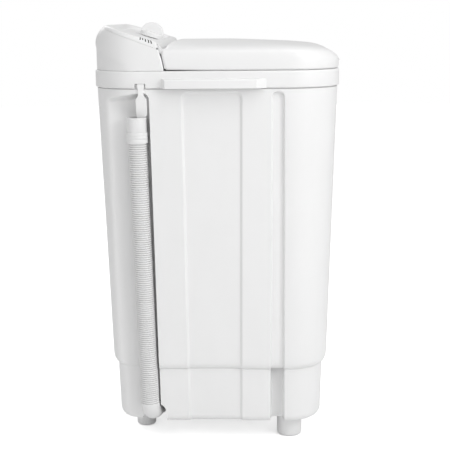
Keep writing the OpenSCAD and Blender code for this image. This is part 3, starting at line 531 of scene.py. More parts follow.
def skin_point(column, row):
    """Point of the tub or base; a row is (height, inset, edge inset, base or not)"""
    kind, a, b, value = column
    z, inset, edge, base = row
    below = (rim_z - z) / tub_rise
    flat = corner_r + draft * (1 - below)
    radius = flat - inset - edge
    if kind == "side":
        y = mix(value[0], value[1], below)
        depth = relief(y, z, inset, base)
        if a < 0:
            depth = max(depth, (pocket_depth - edge) * pocket_share(y, z, inset))
        return (a * (corner_x + radius - depth), y + shift, z)
    if kind == "end":
        return (value, b * (corner_y + radius) + shift, z)
    x = corner_x + radius * cos(value)
    y = corner_y + radius * sin(value)
    if a < 0 < b:
        share = pocket_share(y, z, inset)
        plane = corner_x + flat - inset - mix(edge, pocket_depth, share)
        x = soft_min(x, plane, 0.01 + 9 * share)
    return (a * x, b * y + shift, z)


def skin_columns():
    """Columns round the machine, dense at the relief; a side's are (Y at the rim, Y at the base)"""
    left = steps([(-150, -150), ((-142, -141.6), 3), ((-136, -135.7), 5), ((-120, -117.4), 9),
                  ((-113.5, -110.9), 6), ((-57, -53), 7), ((-49, -45), 8), ((-38, -34), 5),
                  ((52, 48), 8), ((63, 59), 5), ((71, 67), 8), ((131, 123.5), 6),
                  ((140, 132.5), 9), ((150, 150), 4)])
    right = steps([(150, 150), ((71, 67), 7), ((63, 59), 8), ((52, 48), 5), ((-38, -34), 8),
                   ((-49, -45), 5), ((-57, -53), 8), ((-113.5, -110.9), 7), ((-120, -117.4), 6),
                   ((-136, -135.7), 9), ((-142, -141.6), 5), ((-150, -150), 3)])

    def corner(a, b, count, way):
        angles = [radians(90 * step / count) for step in range(count)]
        return [("corner", a, b, angle if way > 0 else pi / 2 - angle) for angle in angles]

    def end(b):
        return [("end", 0, b, mix(-b * corner_x, b * corner_x, step / 8)) for step in range(8)]
    columns = [("side", -1, 0, value) for value in left[:-1]]
    columns += corner(-1, 1, 44, 1) + end(1) + corner(1, 1, 20, -1)
    columns += [("side", 1, 0, value) for value in right[:-1]]
    columns += corner(1, -1, 24, 1) + end(-1) + corner(-1, -1, 24, -1)
    return columns


def tuck_at(z):
    """Inset of the tub's foot, which draws in over its last 25 mm"""
    return tuck * max(1 - (z - part_z) / 25, 0) ** 3.6


def foot_at(z):
    """Inset of the base, rounded over its lowest 15 mm"""
    share = min(max((base_z + 15 - z) / 15, 0), 1)
    return tuck + 13 * (1 - (1 - share * share) ** 0.5)


def make_tub():
    rise = steps([0, (1, 1), (4, 2), (11, 4), (25, 6), (540, 38), (598, 44)])
    rows = [(floor_low, wall, 0, False)]
    rows += [(part_z + dz, wall, tuck_at(part_z + dz), False) for dz in (20, 8, 3, 0.6)]
    rows += [(part_z, wall - 0.6, tuck, False), (part_z, 0.6, tuck, False)]
    rows += [(part_z + max(dz, 0.6), 0, tuck_at(part_z + dz), False) for dz in rise]
    # The neck that stands up into the rim, then the wall's inside down to the floor
    rows += [(z, inset, 0, False) for z, inset in (
        (771, 2.5), (803, 2.5), (803, 5.7), (772, 5.7), (764, wall))]
    rows += [(part_z + dz, wall, 0, False) for dz in steps([588, (540, 16), (48, 30)])]
    rows += [(floor_top, wall, 0, False)]
    form = loft(skin_columns(), rows, skin_point)
    for level in (floor_low, floor_top):
        fill(form, lambda p: abs(p.z - level) < 0.01)
    holes = rod((0, shift), floor_low - 5, floor_top + 5, shaft_hole)
    add(holes, rod(drain_top, floor_low - 5, floor_top + 5, drain_hole))
    form = cut(form, holes)
    for x in (-post_x, post_x):
        for y in (-post_y, post_y):
            add(form, pipe((x, y + shift), part_z + 2, floor_low, post_r, post_bore, 24))
    return piece("tub_shell", form, "white_shell", replaces=["tub"])


# Arch over the drain elbow, its foot's place and turn, and the opening under the motor
arch_mid, arch_top, arch_r = 141.7, 72, 23
drain_foot, drain_angle = (-210.387, 148.412), -15
opening_x, opening_front, opening_rear = 100, -118, 138
# Slot in the base's floor for the elbow, from its foot: near end, far end and half width
slot_near, slot_far, slot_half = 15, 85, 25
# Hole of the mains lead's gland: X and height, radius
cord_place, cord_hole = (120, 115), 8.2


def make_base():
    inner_z = base_z + wall
    rise = steps([0, (6, 6), (15, 5), (45, 12), (118, 14), (120, 2)])
    rows = [(base_z + dz, 0, foot_at(base_z + dz), True) for dz in rise]
    # The edge under the parting line, with the tongue that stands up inside the tub
    rows += [(part_z + dz, inset, tuck, True) for dz, inset in (
        (-0.4, 0.2), (0, 0.9), (0, 3.6), (9, 3.6), (9, 6.8), (-12, 6.8), (-15, wall))]
    rows += [(inner_z + dz, wall, foot_at(base_z + dz), True)
             for dz in steps([100, (15, 10), (6, 4), (0, 4)])]
    form = loft(skin_columns(), rows, skin_point)
    opening = block((-opening_x, opening_front + shift, base_z), (opening_x, opening_rear + shift, inner_z))
    opening.normal_update()
    bmesh.ops.delete(opening, geom=[face for face in opening.faces if abs(face.normal.z) > 0.5],
                     context="FACES_ONLY")
    add(form, opening)
    for level in (base_z, inner_z):
        fill_between(form, lambda p: abs(p.z - level) < 0.01)
    holes = arch_form(-260, -172)
    add(holes, rod(cord_place, 180, 260, cord_hole, 32, "Y"))
    stems = [(side * x, y + shift) for x, y, width in feet.values() for side in (-1, 1)]
    for stem in stems:
        add(holes, rod(stem, base_z - 5, base_z + 8, stem_hole, 32))
    form = cut(form, holes)
    form = cut(form, turned_slot())
    for stem in stems:
        add(form, pipe(stem, inner_z - 0.2, base_z + 26, socket_r, stem_hole, 32))
    return piece("base_shell", form, "white_shell", replaces=["base_skirt"])


def arch_form(left, right):
    """Arch over the drain elbow, as a bar from left to right"""
    def quarter(y, z, start):
        angles = [radians(start + 90 * k / 12) for k in range(13)]
        return [(y + arch_r * cos(a), z + arch_r * sin(a)) for a in angles]
    outline = quarter(arch_mid, arch_top, 0) + quarter(arch_mid - 5, arch_top - 1.5, 90)
    outline += [(arch_mid - 5 - arch_r, base_z - 9), (arch_mid + arch_r, base_z - 9)]
    form = loft(outline, [left, right], lambda p, x: (x, p[0] + shift, p[1]))
    for end in (left, right):
        fill(form, lambda p: abs(p.x - end) < 0.01)
    return form


def drain_turn():
    """Places the elbow and its slot, both drawn from its foot along +X"""
    place = Vector((drain_foot[0], drain_foot[1] + shift, 0)) * mm
    return Matrix.Translation(place) @ Matrix.Rotation(radians(drain_angle), 4, "Z")


def turned_slot():
    """Slot in the base's floor that lets the elbow pass"""
    form = block((slot_near, -slot_half, base_z - 1), (slot_far, slot_half, base_z + wall + 1))
    bmesh.ops.transform(form, matrix=drain_turn(), verts=form.verts)
    return form


def plan_columns(side, corner, end):
    """Columns round a plan, as (section, share), from the left side's front end to the rear"""
    counts = [side, corner, end, corner] * 2
    return [(section, step / count) for section, count in enumerate(counts) for step in range(count)]


def rounded(column, half, front, rear, r_front, r_rear, deep=None):
    """Point on a box outline with rounded corners; deep is the rear corners' reach in Y"""
    section, t = column
    deep = r_rear if deep is None else deep
    y0, y1 = front + r_front, rear - deep
    a = t * pi / 2
    return [(-half, mix(y0, y1, t)),
            (-half + r_rear * (1 - cos(a)), y1 + deep * sin(a)),
            (mix(-half + r_rear, half - r_rear, t), rear),
            (half - r_rear * (1 - sin(a)), y1 + deep * cos(a)),
            (half, mix(y1, y0, t)),
            (half - r_front * (1 - cos(a)), y0 - r_front * sin(a)),
            (mix(half - r_front, -half + r_front, t), front),
            (-half + r_front * (1 - sin(a)), y0 - r_front * cos(a))][section]


# Tub's mouth: half width, front, rear, and the reach of its front and rear corners
mouth_x, mouth_front, mouth_rear, mouth_r_front, mouth_r_rear = 215, -231, 95.5, 76, 34
# Notch in the rim for the hook: ends, height and edge; and the opening under the console for wires
notch_front, notch_rear, notch_high, notch_edge = 139.9, 162.1, 9.9, 1.2
wires_x, wires_front, wires_rear = 130, 145, 225


def rim_plan(column, inset):
    """Outline of the rim band, drawn in by inset"""
    return rounded(column, rim_x - inset, -rim_y + inset, rim_y - inset, rim_r - inset, rim_r - inset)


def mouth_plan(column, grow):
    """Outline of the tub's mouth, grown by grow"""
    return rounded(column, mouth_x + grow, mouth_front - grow, mouth_rear + grow,
                   mouth_r_front + grow, mouth_r_rear + grow)


def at_height(point, z):
    return (point[0], point[1] + shift, z)


def curve(r, inset, z, count=5):
    """Rows (inset, height) that round an edge by r, from the wall to the top at z"""
    angles = [pi / 2 * k / count for k in range(count + 1)]
    return [(inset + r * (1 - cos(a)), z - r + r * sin(a)) for a in angles]


def make_rim():
    """Band, deck and raised mouth in one closed section, notched for the hook and the wires"""
    rows = [("rim", inset, rim_z + dz) for inset, dz in (
        (3.2, 1), (2.8, 0.3), (2.2, 0), (1.1, 0.4), (0.35, 1.5), (0, 3), (0, 16), (0, 27))]
    rows += [("rim", inset, z) for inset, z in curve(3, 0, deck_z - 0.5) + [(12, deck_z)]]
    rows += [("mouth", grow, deck_z + dz) for grow, dz in (
        (9, 0), (4.2, 0), (3.4, 0.8), (3.2, 5), (2.4, 6), (0.8, 6), (0, 5), (0, -17), (0.8, -18),
        (2.4, -18), (3.2, -17), (3.2, -3.7))]
    rows += [("rim", 3.2, deck_z - 3.7)]

    def point(column, row):
        plan = rim_plan if row[0] == "rim" else mouth_plan
        return at_height(plan(column, row[1]), row[2])
    form = loft(plan_columns(10, 26, 12), rows, point, tube=True)
    notch = block((-rim_x - 8, notch_front + shift, rim_z - 5),
                  (-rim_x + 6, notch_rear + shift, rim_z + notch_high), notch_edge)
    add(notch, block((-wires_x, wires_front + shift, deck_z - 8), (wires_x, wires_rear + shift, deck_z + 4)))
    form = cut(form, notch)
    for side in (-1, 1):
        add(form, make_grip(side))
    return piece("rim_shell", form, "white_shell", replaces=["rim_frame"])


# Hand grips: ends at the wall and outwards, how far out and how high
grip_front, grip_rear, grip_out, grip_high = -106, 108, 16, 19
grip_taper_front, grip_taper_rear, grip_edge, grip_wall = 20, 6, 5, 3.2


def make_grip(side):
    """Hollow hand grip on a side of the rim, open below"""
    form = block((rim_x - 2.5, grip_front + shift, rim_z),
                 (rim_x + grip_out, grip_rear + shift, rim_z + grip_high))
    for vert in form.verts:
        if vert.co.x > rim_x * mm:
            vert.co.y += (grip_taper_front if vert.co.y < 0 else -grip_taper_rear) * mm
    form.normal_update()
    lower = [face for face in form.faces if face.normal.z < -0.5]
    bmesh.ops.delete(form, geom=lower, context="FACES")
    edges = [edge for edge in form.edges
             if all(v.co.x > rim_x * mm for v in edge.verts) and not edge.is_boundary]
    round_edges(form, edges, grip_edge, 5)
    form.normal_update()
    bmesh.ops.solidify(form, geom=form.faces[:], thickness=grip_wall * mm)
    if side < 0:
        bmesh.ops.scale(form, vec=(-1, 1, 1), verts=form.verts)
        bmesh.ops.reverse_faces(form, faces=form.faces)
    return form


# Lid, level by level: height over the deck, insets at the sides, the front and the rear
lid_levels = [(2.5, 0.8, 0.8, 0.1), (4, 0.3, 0.3, -0.6), (10, 0.1, 0.1, -1.4), (18, 0, 0.3, -3.1),
              (25, 0.2, 3.4, -4.8), (31, 0.8, 10, -6.2), (36, 1.9, 17.5, -6.4), (40, 4, 27, -4.6),
              (43, 7.5, 38, 0), (45.5, 12.5, 53, 3.2), (48, 22, 82, 4.3), (50.5, 42, 124, 5.4),
              (53, 74, 166, 6.8), (55.2, 112, 200, 8.6), (56.8, 150, 228, 11), (57.4, 185, 250, 20)]
lid_wall, lid_gap, lid_rear = 2.8, 1.6, 101.5
# Lid's lip: half width, and its section as (height, Y) round its root
lip_half, lip_root, lip_z = 55, -252, 13
lip_section = [(-0.5, lip_root), (-3, -254.6), (-3.4, -259), (-1.6, -262.2), (0.6, -263), (2.2, -261.6),
               (3, -257), (4, lip_root)]
# Hinge ears on the lid: from the middle to each cheek, radius, and the softened edge's size
ear_low, ear_high, ear_r, ear_soft = 220, 236, 6.5, 0.97


def lid_level(share):
    """Lid level at a share from 0 to 1 of its list, on a smooth curve through the levels"""
    spot = share * (len(lid_levels) - 1)
    k = min(int(spot), len(lid_levels) - 2)
    t = spot - k
    a = lid_levels[max(k - 1, 0)]
    b, c = lid_levels[k], lid_levels[k + 1]
    d = lid_levels[min(k + 2, len(lid_levels) - 1)]
    return [0.5 * (2 * q + (r - p) * t + (2 * p - 5 * q + 4 * r - s) * t * t
                   + (3 * q - p - 3 * r + s) * t * t * t) for p, q, r, s in zip(a, b, c, d)]


def lid_place(thick):
    """Places the lid's levels, drawn in by thick; its lower edge rises a little at the rear"""
    def point(column, row):
        z, side, front, rear = row
        half = rim_x - 1 - side - thick
        low = -(rim_y - 1 - front - thick)
        high = lid_rear - rear - thick
        radius = max(rim_r - 1 - max(side, front * 0.8), 20) - thick
        radius = min(radius, half * 0.98, (high - low) * 0.6)
        spot = rounded(column, half, low, high, radius, min(7, radius))
        gap = lid_gap * ease((spot[1] - 10) / 85) * ease((9 - z) / 6)
        return at_height(spot, deck_z + z + gap - (thick if z > 3 else 0))
    return point


def make_lid():
    rows = [lid_level(k / 60) for k in range(61)]
    columns = plan_columns(14, 24, 14)
    top = rows[-1][0] + deck_z - 0.05
    form = loft(columns, rows, lid_place(0))
    fill(form, lambda p: p.z > top)
    under = loft(columns, rows, lid_place(lid_wall))
    fill(under, lambda p: p.z > top - lid_wall)
    bmesh.ops.reverse_faces(under, faces=under.faces)
    add(form, under)
    bmesh.ops.bridge_loops(form, edges=open_edges(form))
    lip = loft(steps([-lip_half, (lip_half, 22)]), lip_section,
               lambda x, row: (x, lip_y(x, row[1]) + shift, deck_z + lip_z + row[0]), ring=False)
    bmesh.ops.holes_fill(lip, edges=open_edges(lip))
    add(form, lip)
    for side in (-1, 1):
        add(form, lid_ear(side))
    return piece("lid_shell", form, "white_shell", "lid_panel", replaces=["lid"])


def lip_y(x, y):
    """The lip fades into the lid at both its ends"""
    return mix(lip_root, y, ease((lip_half + 0.2 - abs(x)) / 5))


def lid_ear(side):
    """Ear with a round rear end and a bore for its hinge pin"""
    outline = [(ear_r * cos(a), ear_r * sin(a)) for a in (radians(-85 + 245 * k / 20) for k in range(21))]
    outline += [(-12, -3.5), (-12, -14)]

    def point(p, x):
        size = ear_soft if x in (ear_low, ear_high) else 1
        return (side * x, hinge_y + shift + p[0] * size, hinge_z + p[1] * size)
    form = loft(outline, [ear_low, ear_low + 1, ear_high - 1, ear_high], point)
    for end in (ear_low, ear_high):
        fill(form, lambda p: abs(abs(p.x) - end) < 0.01)
    middle = side * (ear_low + ear_high) / 2
    return cut(form, rod((hinge_y + shift, hinge_z), middle - 12, middle + 12, pin_r, 24, "X"))


# Console: front and rear curve as (height, Y), and the crease in its rear as (Y, height)
front_curve = [(807, 103), (816, 104), (828, 106.5), (840, 110), (848.5, 113), (864, 117), (900, 119)]
rear_curve = [(807, 253.5), (858, 253.5), (866, 252.9), (874, 251), (880, 248.2), (886, 243.8),
              (892, 238.6), (898, 233)]
crease = [(168, 822), (192, 827), (210, 832), (230, 841.5), (244, 851), (250, 858), (254, 862)]
crease_depth, crease_front = 1.8, 168
# Its seam with the cap and the cap's top rise from the front edge; the top ends level at the roof
front_y, seam_low, top_low, roof = 117, 851, 864, 898
seam_slope, slope, slope_angle = 0.3639, 0.30493, 16.9582
console_x, console_wall, corner_start = rim_x - 1.5, 3.2, 150
# Hinge cheeks inside the console, the room for the lid's ears beside them, and their lower end
cheek_low, cheek_high, cheek_front, cheek_rear, cheek_top = 214, 218, 104, 127, 850.5
gap_low, gap_high, gap_front, gap_rear, gap_top = 218.2, 239.2, 95, 123.5, 859.5
hinge_floor = 834
# Posts for the console's screws: their places, top, outer and inner radius
console_posts, screw_top, screw_r, screw_bore = ((150, 110.2), (120, 246.3)), 828, 4.7, 1.7
# Cap: its rounded upper edge, and the field sunk into its top
cap_edge, field_depth, tray_depth = 2.6, 8.36, 12.3
field_x, field_front, field_rear = rim_x - 15.5, 128, 223


def along_curve(points, at):
    """Second value of a curve where its first is at, held at both ends"""
    for (a, first), (b, second) in zip(points, points[1:]):
        if at <= b:
            return mix(first, second, max(at - a, 0) / (b - a))
    return points[-1][1]


def console_outline(column, inset, z):
    """The console's outline at a height; below the crease its rear is sunk a little"""
    rear = along_curve(rear_curve, z) - inset
    front = along_curve(front_curve, z) + inset
    half, reach = console_x - inset, rim_r - 1.5 - inset
    point = rounded(column, half, front, rear, 3, reach, rear - corner_start)
    sunk = crease_depth * ease((along_curve(crease, point[1]) - z) / 9) * ease((point[1] - crease_front) / 40)
    if sunk and z < seam_z(point[1]) - 1:
        rear -= sunk
        point = rounded(column, half - sunk, front, rear, 3, reach - sunk, rear - corner_start)
    return point


def console_point(column, inset, height):
    """Point of the console at inset from its skin; height gives Z from Y"""
    y = hinge_y
    for _ in range(4):
        z = height(y)
        x, y = console_outline(column, inset, z)
    return at_height((x, y), z)


def seam_z(y):
    return seam_low + seam_slope * (y - front_y)


def slope_z(y):
    return top_low + slope * (y - front_y)


def top_z(y):
    return min(slope_z(y), roof)


def make_console():
    shares = steps([0, (0.25, 3), (0.94, 12)])
    rows = [(0.5, 0, 0)] + [(0, max(share, 0.006), 0) for share in shares] + [(0, 1, -0.5), (0.5, 1, 0)]
    rows += [(console_wall, share, 0) for share in (1, 0.5, 0)]

    def point(column, row):
        inset, share, lift = row
        return console_point(column, inset, lambda y: mix(deck_z, seam_z(y), share) + lift)
    form = loft(plan_columns(26, 26, 8), rows, point, tube=True)
    form = cut(cut(form, ear_gaps()), pin_bores())
    for side in (-1, 1):
        low, high = sorted((side * cheek_low, side * cheek_high))
        cheek = block((low, cheek_front + shift, hinge_floor), (high, cheek_rear + shift, cheek_top))
        add(form, cut(cheek, pin_bores()))
    for x, y in console_posts:
        for side in (-1, 1):
            add(form, pipe((side * x, y + shift), deck_z, screw_top, screw_r, screw_bore, 24))
    return piece("console_shell", form, "white_shell", replaces=["console_housing"])


def ear_gaps():
    """Room for the lid's ears in the console's front corners"""
    gaps = bmesh.new()
    for side in (-1, 1):
        low, high = sorted((side * gap_low, side * gap_high))
        add(gaps, block((low, gap_front + shift, hinge_floor), (high, gap_rear + shift, gap_top)))
    return gaps


def pin_bores():
    """Bores for the hinge pins in both cheeks"""
    bores = bmesh.new()
    for low, high in ((-246, -200), (200, 246)):
        add(bores, rod((hinge_y + shift, hinge_z), low, high, pin_r, 24, "X"))
    return bores


def field_outline(column, grow):
    """Outline of the sunk field in the cap, at a distance from its edge"""
    rear = field_rear + grow
    return rounded(column, field_x + grow, field_front - grow, rear, 9 + grow, 88 + grow, rear - corner_start)


def make_cap():
    """Rows run from the seam up the skin, over the top and down into the field"""
    rows = [("skin", inset, "seam", lift) for inset, lift in ((4.2, 0.3), (0.6, 0.3), (0, 0.9))]
    rows += [("skin", 0, "mid", 0)]
    rows += [("skin", inset, "top", lift) for inset, lift in curve(cap_edge, 0, 0) + [(3.6, 0)]]
    rows += [("field", grow, "top", lift) for grow, lift in (
        (3.2, 0), (2.2, 0), (1, -0.2), (0.2, -1), (0, -2), (0, -6.4), (-0.6, -7.7),
        (-1.8, -field_depth), (-3, -field_depth), (-7, -field_depth))]

    def point(column, row):
        kind, inset, level, lift = row

        def height(y):
            seam, top = seam_z(y), top_z(y)
            base = {"seam": seam, "top": top, "mid": mix(seam, top, 0.4)}[level]
            if kind == "field":
                return base + lift
            return max(base + lift, seam + (0.3 if level == "seam" else 0.9))
        if kind == "skin":
            return console_point(column, inset, height)
        x, y = field_outline(column, inset)
        return at_height((x, y), height(y))
    form = loft(plan_columns(26, 26, 8), rows, point)
    fill(form, lambda p: abs(p.z - top_z(p.y - shift) + field_depth) < 0.05)
    # The underside: the seam's inner edge drawn down to a tray under the field
    tray = bmesh.ops.extrude_edge_only(form, edges=open_edges(form))["geom"]
    for vert in [item for item in tray if isinstance(item, bmesh.types.BMVert)]:
        vert.co.z = (slope_z(min(vert.co.y / mm - shift, 240)) - tray_depth) * mm
    fill(form)
    for cutter in (timer_hole(), ear_gaps(), pin_bores()):
        form = cut(form, cutter)
    return piece("cap_shell", form, "white_trim", replaces=["fascia_panel"])


# Timer: the point of its spindle's axis on the slope, its hole, and the knob's size and depth
timer_place, timer_bore = (65, 157.174, 876.25), 7.4
knob_r, knob_high, knob_down, spindle_r = 27, 10.5, 6.8, 3.05


def on_timer():
    """Places what is drawn round the timer's axis on the slope"""
    x, y, z = timer_place
    return Matrix.Translation(Vector((x, y + shift, z)) * mm) @ Matrix.Rotation(radians(slope_angle), 4, "X")


def timer_hole():
    form = rod((0, 0), -30, 10, timer_bore, 32)
    bmesh.ops.transform(form, matrix=on_timer(), verts=form.verts)
    return form


def make_knob():
    r, h = knob_r, knob_high
    profile = [(0, h - 1.2), (spindle_r, h - 1.2), (spindle_r, 0), (r - 0.6, 0), (r, 0.6), (r, h - 2),
               (r - 0.3, h - 0.9), (r - 1, h - 0.2), (r - 2.2, h + 0.2), (r - 7, h + 1), (r - 14, h + 1.6),
               (5, h + 1.9), (0, h + 1.9)]
    form = turned(profile)
    add(form, blade_form(h - 4))
    down = Matrix.Translation((0, 0, -knob_down * mm))
    bmesh.ops.transform(form, matrix=on_timer() @ down, verts=form.verts)
    return piece("knob", form, "white_trim", "timer", replaces=["timer_knob"])


# Print on the cap: how deep it lies and stands in the field, and the angle of minute 0 and of a minute
print_low, print_high = -8.15, -7.9
dial_start, dial_step, dial_minutes = 240, 20, 16
# Strokes over the cap's left edge: Y, and how far down from the top they start
edge_strokes = ((148, -2.4), (143, -3.4), (137.5, -5), (131.5, -5.6), (126.5, -5.6))


def make_dial():
    """Ticks round the knob and plain minutes, printed on the sunk field, and the edge's strokes"""
    form = bmesh.new()
    for minute in range(dial_minutes):
        angle = radians(dial_start - dial_step * minute)
        long = 1.2 if minute % 3 == 0 else 0
        tick = block((28.3, -0.4, print_low), (30.6 + long, 0.4, print_high))
        bmesh.ops.rotate(tick, verts=tick.verts, matrix=Matrix.Rotation(angle, 3, "Z"))
        add(form, tick)
        if minute in (3, 6, 9, 12):
            glyph = number(str(minute), 6.5)
            at = Vector((37 * cos(angle), 37 * sin(angle) - 0.5, -8)) * mm
            bmesh.ops.translate(glyph, verts=glyph.verts, vec=at)
            add(form, glyph)
    bmesh.ops.transform(form, matrix=on_timer(), verts=form.verts)
    for y, low in edge_strokes:
        add(form, edge_stroke(y, low))
    return piece("dial_marks", form, "black_plastic")


def edge_stroke(y, low):
    """Printed stroke that wraps the cap's left edge, from low on its side to its top"""
    proud = 0.05
    grown = (cap_edge + proud) / cap_edge
    rows = [(-proud, low)] + [(inset - proud, lift * grown + proud) for inset, lift in curve(cap_edge, 0, 0)]
    rows.append((4.5, proud))

    def point(side, row):
        inset, lift = row
        share = (y + side * 1.1 - 120) / 30
        return console_point((0, share), inset, lambda at: top_z(at) + lift)
    stroke = loft([-1, 0, 1], rows, point, ring=False)
    face_left(stroke)
    bmesh.ops.solidify(stroke, geom=stroke.faces[:], thickness=0.15 * mm)
    return stroke


def face_left(form):
    """Turns an open sheet's faces to the left"""
    bmesh.ops.recalc_face_normals(form, faces=form.faces)
    if sum(face.normal.x for face in form.faces) > 0:
        bmesh.ops.reverse_faces(form, faces=form.faces)


def number(text, height):
    """Mesh of a number lying in XY, its middle on the origin"""
    digits = bpy.data.curves.new("number", "FONT")
    digits.body = text
    digits.size = height * mm
    digits.extrude = 0.06 * mm
    digits.align_x = "CENTER"
    digits.align_y = "CENTER"
    item = link("number", digits)
    graph = bpy.context.evaluated_depsgraph_get()
    mesh = bpy.data.meshes.new_from_object(item.evaluated_get(graph))
    form = bmesh.new()
    form.from_mesh(mesh)
    bmesh.ops.remove_doubles(form, verts=form.verts, dist=0.002 * mm)
    bpy.data.objects.remove(item)
    bpy.data.curves.remove(digits)
    bpy.data.meshes.remove(mesh)
    return form


def blade_form(z):
    """Half-round grip blade with soft edges, its straight side at z"""
    r, half = 26.4, 6.5
    arc = [(r * cos(a), z + r * sin(a)) for a in (radians(180 * k / 40) for k in range(41))]
    form = loft(arc, [-half, half], lambda p, x: (x, p[0], p[1]))
    for end in (-half, half):
        fill(form, lambda p: abs(p.x - end) < 0.01)
    form.normal_update()
    edges = [edge for edge in form.edges if len(edge.link_faces) == 2
             and edge.calc_face_angle() > 0.6 and max(v.co.z for v in edge.verts) > (z + 0.5) * mm]
    round_edges(form, edges, 2.2, 4)
    form.normal_update()
    flats = [face for face in form.faces if abs(face.normal.x) > 0.99 and face.calc_area() > 400 * mm * mm]
    bmesh.ops.inset_individual(form, faces=flats, thickness=0.6 * mm)
    return form


# Drain hose: its distance from the pocket's wall, its Y at the rim and its lean down to the base
hose_off, hose_mid, hose_lean = 22.7, 162.7, 12.7
# Sections (height over the start, radius) of one rib, and (height, radius) of the collar and the cuff
rib_section = ((0, 17.2), (0.1, 17.25), (0.26, 18.9), (0.38, 19.4), (0.55, 19.5), (0.72, 19.4), (0.84, 18.9))
collar_section = (
    (660.5, 16.6), (660.5, 21.0), (661.0, 21.5), (661.6, 21.7), (667.5, 21.7), (668.3, 21.2), (669.2, 21.2),
    (670, 21.7), (674, 21.7), (674.8, 21.2), (675.7, 21.2), (676.5, 21.7), (681.6, 21.7), (682.6, 21.3),
    (683, 20.6), (683, 16.6))
cuff_section = (
    (682.5, 17), (682.5, 19.6), (683.2, 20.1), (684.5, 20.5), (705.5, 20.5), (706.5, 20.6), (708.5, 20.6),
    (709.3, 20.9), (710, 20.95), (711.6, 20.9), (712.6, 20.4), (713, 19.6), (713, 17.8), (712.5, 17.2),
    (711.5, 17))


def hose_x(z):
    """The hose leans out with the pocket's wall"""
    return -(corner_x + corner_r + draft * (z - part_z) / tub_rise - pocket_depth + hose_off)


def hose_y(z):
    return hose_mid - hose_lean * (rim_z - z) / tub_rise


def ring_rows(profile, turns):
    """Rings round the hose's line; the profile is (height, radius)"""
    def point(k, row):
        a = 2 * pi * k / turns
        z, r = row
        return (hose_x(z) + r * cos(a), hose_y(z) + shift + r * sin(a), z)
    return loft(range(turns), profile, point, tube=True)


def make_hose():
    profile = [(hose_top, 17.5)]
    for rib in reversed(range(rib_count)):
        profile += [(hose_low + (rib + share) * rib_pitch, r) for share, r in reversed(rib_section)]
    profile += [(hose_low, 16.2), (hose_top, 16.2)]
    hose = piece("hose", ring_rows(profile, 56), "hose_plastic", sharp=80, replaces=["drain_hose"])
    collar = piece("collar", ring_rows(collar_section, 64), "hose_plastic", replaces=["hose_collar"])
    cuff = piece("cuff", ring_rows(cuff_section, 64), "hose_plastic", replaces=["hose_cuff"])
    line = [(hose_x(z) * mm, (hose_y(z) + shift) * mm, z * mm) for z in (hose_low, 250, 400, 550, collar_low)]


# Elbow, drawn from the foot of the hose: its outlet's end and height, its bend and its radii
outlet_x, outlet_z, bend_r, elbow_r, elbow_bore = 68, 72, 25, 20, 16.2


def make_elbow():
    """Smooth elbow from the outlet's clamp up to the hose"""
    route = [((outlet_x - s, 0, outlet_z), (1, 0, 0), r) for s, r in (
        (0, 18.2), (0.001, 19.4), (0.5, 19.9), (1.2, elbow_r), (8, elbow_r), (14.5, elbow_r),
        (28.5, elbow_r), (36, elbow_r))]
    for k in range(19):
        a = pi / 2 * k / 18
        at = (bend_r - bend_r * sin(a), 0, hose_low - bend_r * cos(a))
        route.append((at, (cos(a), 0, -sin(a)), elbow_r))
    inner = [(at, way, elbow_bore) for at, way, r in route[::-1] if r > 19.4]
    rows = route + [((0, 0, hose_low), (0, 0, -1), 19.2)] + inner

    def point(k, row):
        at, way, r = row
        a = 2 * pi * k / 56
        side = Vector((0, 1, 0))
        up = side.cross(Vector(way))
        return Vector(at) + (side * cos(a) + up * sin(a)) * r
    form = loft(range(56), rows, point, tube=True)
    bmesh.ops.transform(form, matrix=drain_turn(), verts=form.verts)
    return piece("elbow", form, "hose_plastic", replaces=["hose_elbow"])


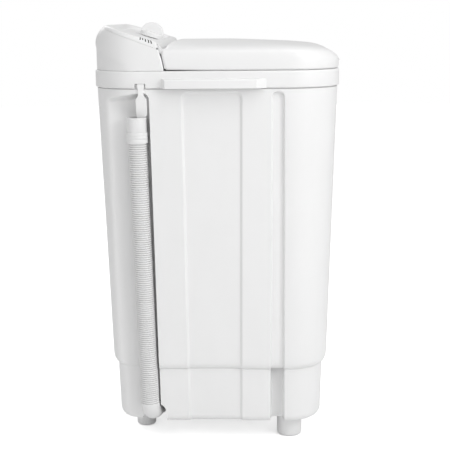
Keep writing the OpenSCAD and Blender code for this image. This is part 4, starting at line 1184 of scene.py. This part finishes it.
# Hook: thickness, how far its face stands inside the rim's, where it bends and where it ends, and
# its outline as (height, half width, middle)
hook_wall, hook_in, hook_mid = 3, 0.1, 149.8
hook_bend, hook_tip = pocket_top - 3, hose_mouth - 14
hook_outline = (
    (781.5, 5.2, 0), (781, 6.4, 0), (779.5, 7, 0), (775, 7, 0), (771.5, 6.6, 0), (770, 5.8, 0),
    (768, 5.65, 0), (761, 5.65, 0), (759, 5.65, 0), (757, 6, 0), (753, 8.6, 0), (750, 10.8, 0),
    (747, 11.25, 0), (735, 11.25, 0), (719, 11.25, 0), (716, 10.6, 1), (713, 7.6, 3),
    (711, 5.9, 4), (708, 5.65, 4), (702, 5.65, 4), (700, 4.8, 4), (699, 3.4, 4))


def make_hook():
    """Flat hook: over the rim's edge, down behind the hose and into its mouth"""
    face = -(rim_x - hook_in)

    def point(u, row):
        z, half, mid = row
        x = face if z > hook_bend else mix(face, hose_x(hook_tip), (hook_bend - z) / (hook_bend - hook_tip))
        return (x, hook_mid + shift + mid + u * half, z)
    form = loft(steps([-1, (1, 6)]), hook_outline, point, ring=False)
    face_left(form)
    bmesh.ops.solidify(form, geom=form.faces[:], thickness=hook_wall * mm)
    form.normal_update()
    edges = [edge for edge in form.edges if len(edge.link_faces) == 2 and edge.calc_face_angle() > 1.2]
    round_edges(form, edges, 0.7, 2)
    return piece("hook", form, "white_trim", replaces=["hose_hook"])


def foot_form(x, y, width):
    """Round foot with a soft tread edge, and the stem that goes up into its socket"""
    r = width / 2
    profile = [(0, 0.6), (r - 8, 0.6), (r - 7, 0), (r - 5, 0), (r - 3.1, 0.4), (r - 1.5, 1.5), (r - 0.4, 3.1),
               (r, 5), (r, 49.2), (r - 0.3, 50.4), (r - 1.2, 51), (9, 51), (9, 70.4), (8.4, 71), (0, 71)]
    return turned(profile, (x, y + shift))


def make_feet():
    for end, (x, y, width) in feet.items():
        form = foot_form(-x, y, width)
        add(form, foot_form(x, y, width))
        piece("feet_" + end, form, "white_shell", replaces=[end + "_feet"])


make_camera()
make_hose()
dress_nodes()
make_elbow()
make_hook()
make_feet()
make_base()
make_tub()
make_rim()
make_console()
make_cap()
make_knob()
make_dial()
make_lid()
make_floor()
make_light()
bpy.context.scene.view_settings.view_transform = "Standard"
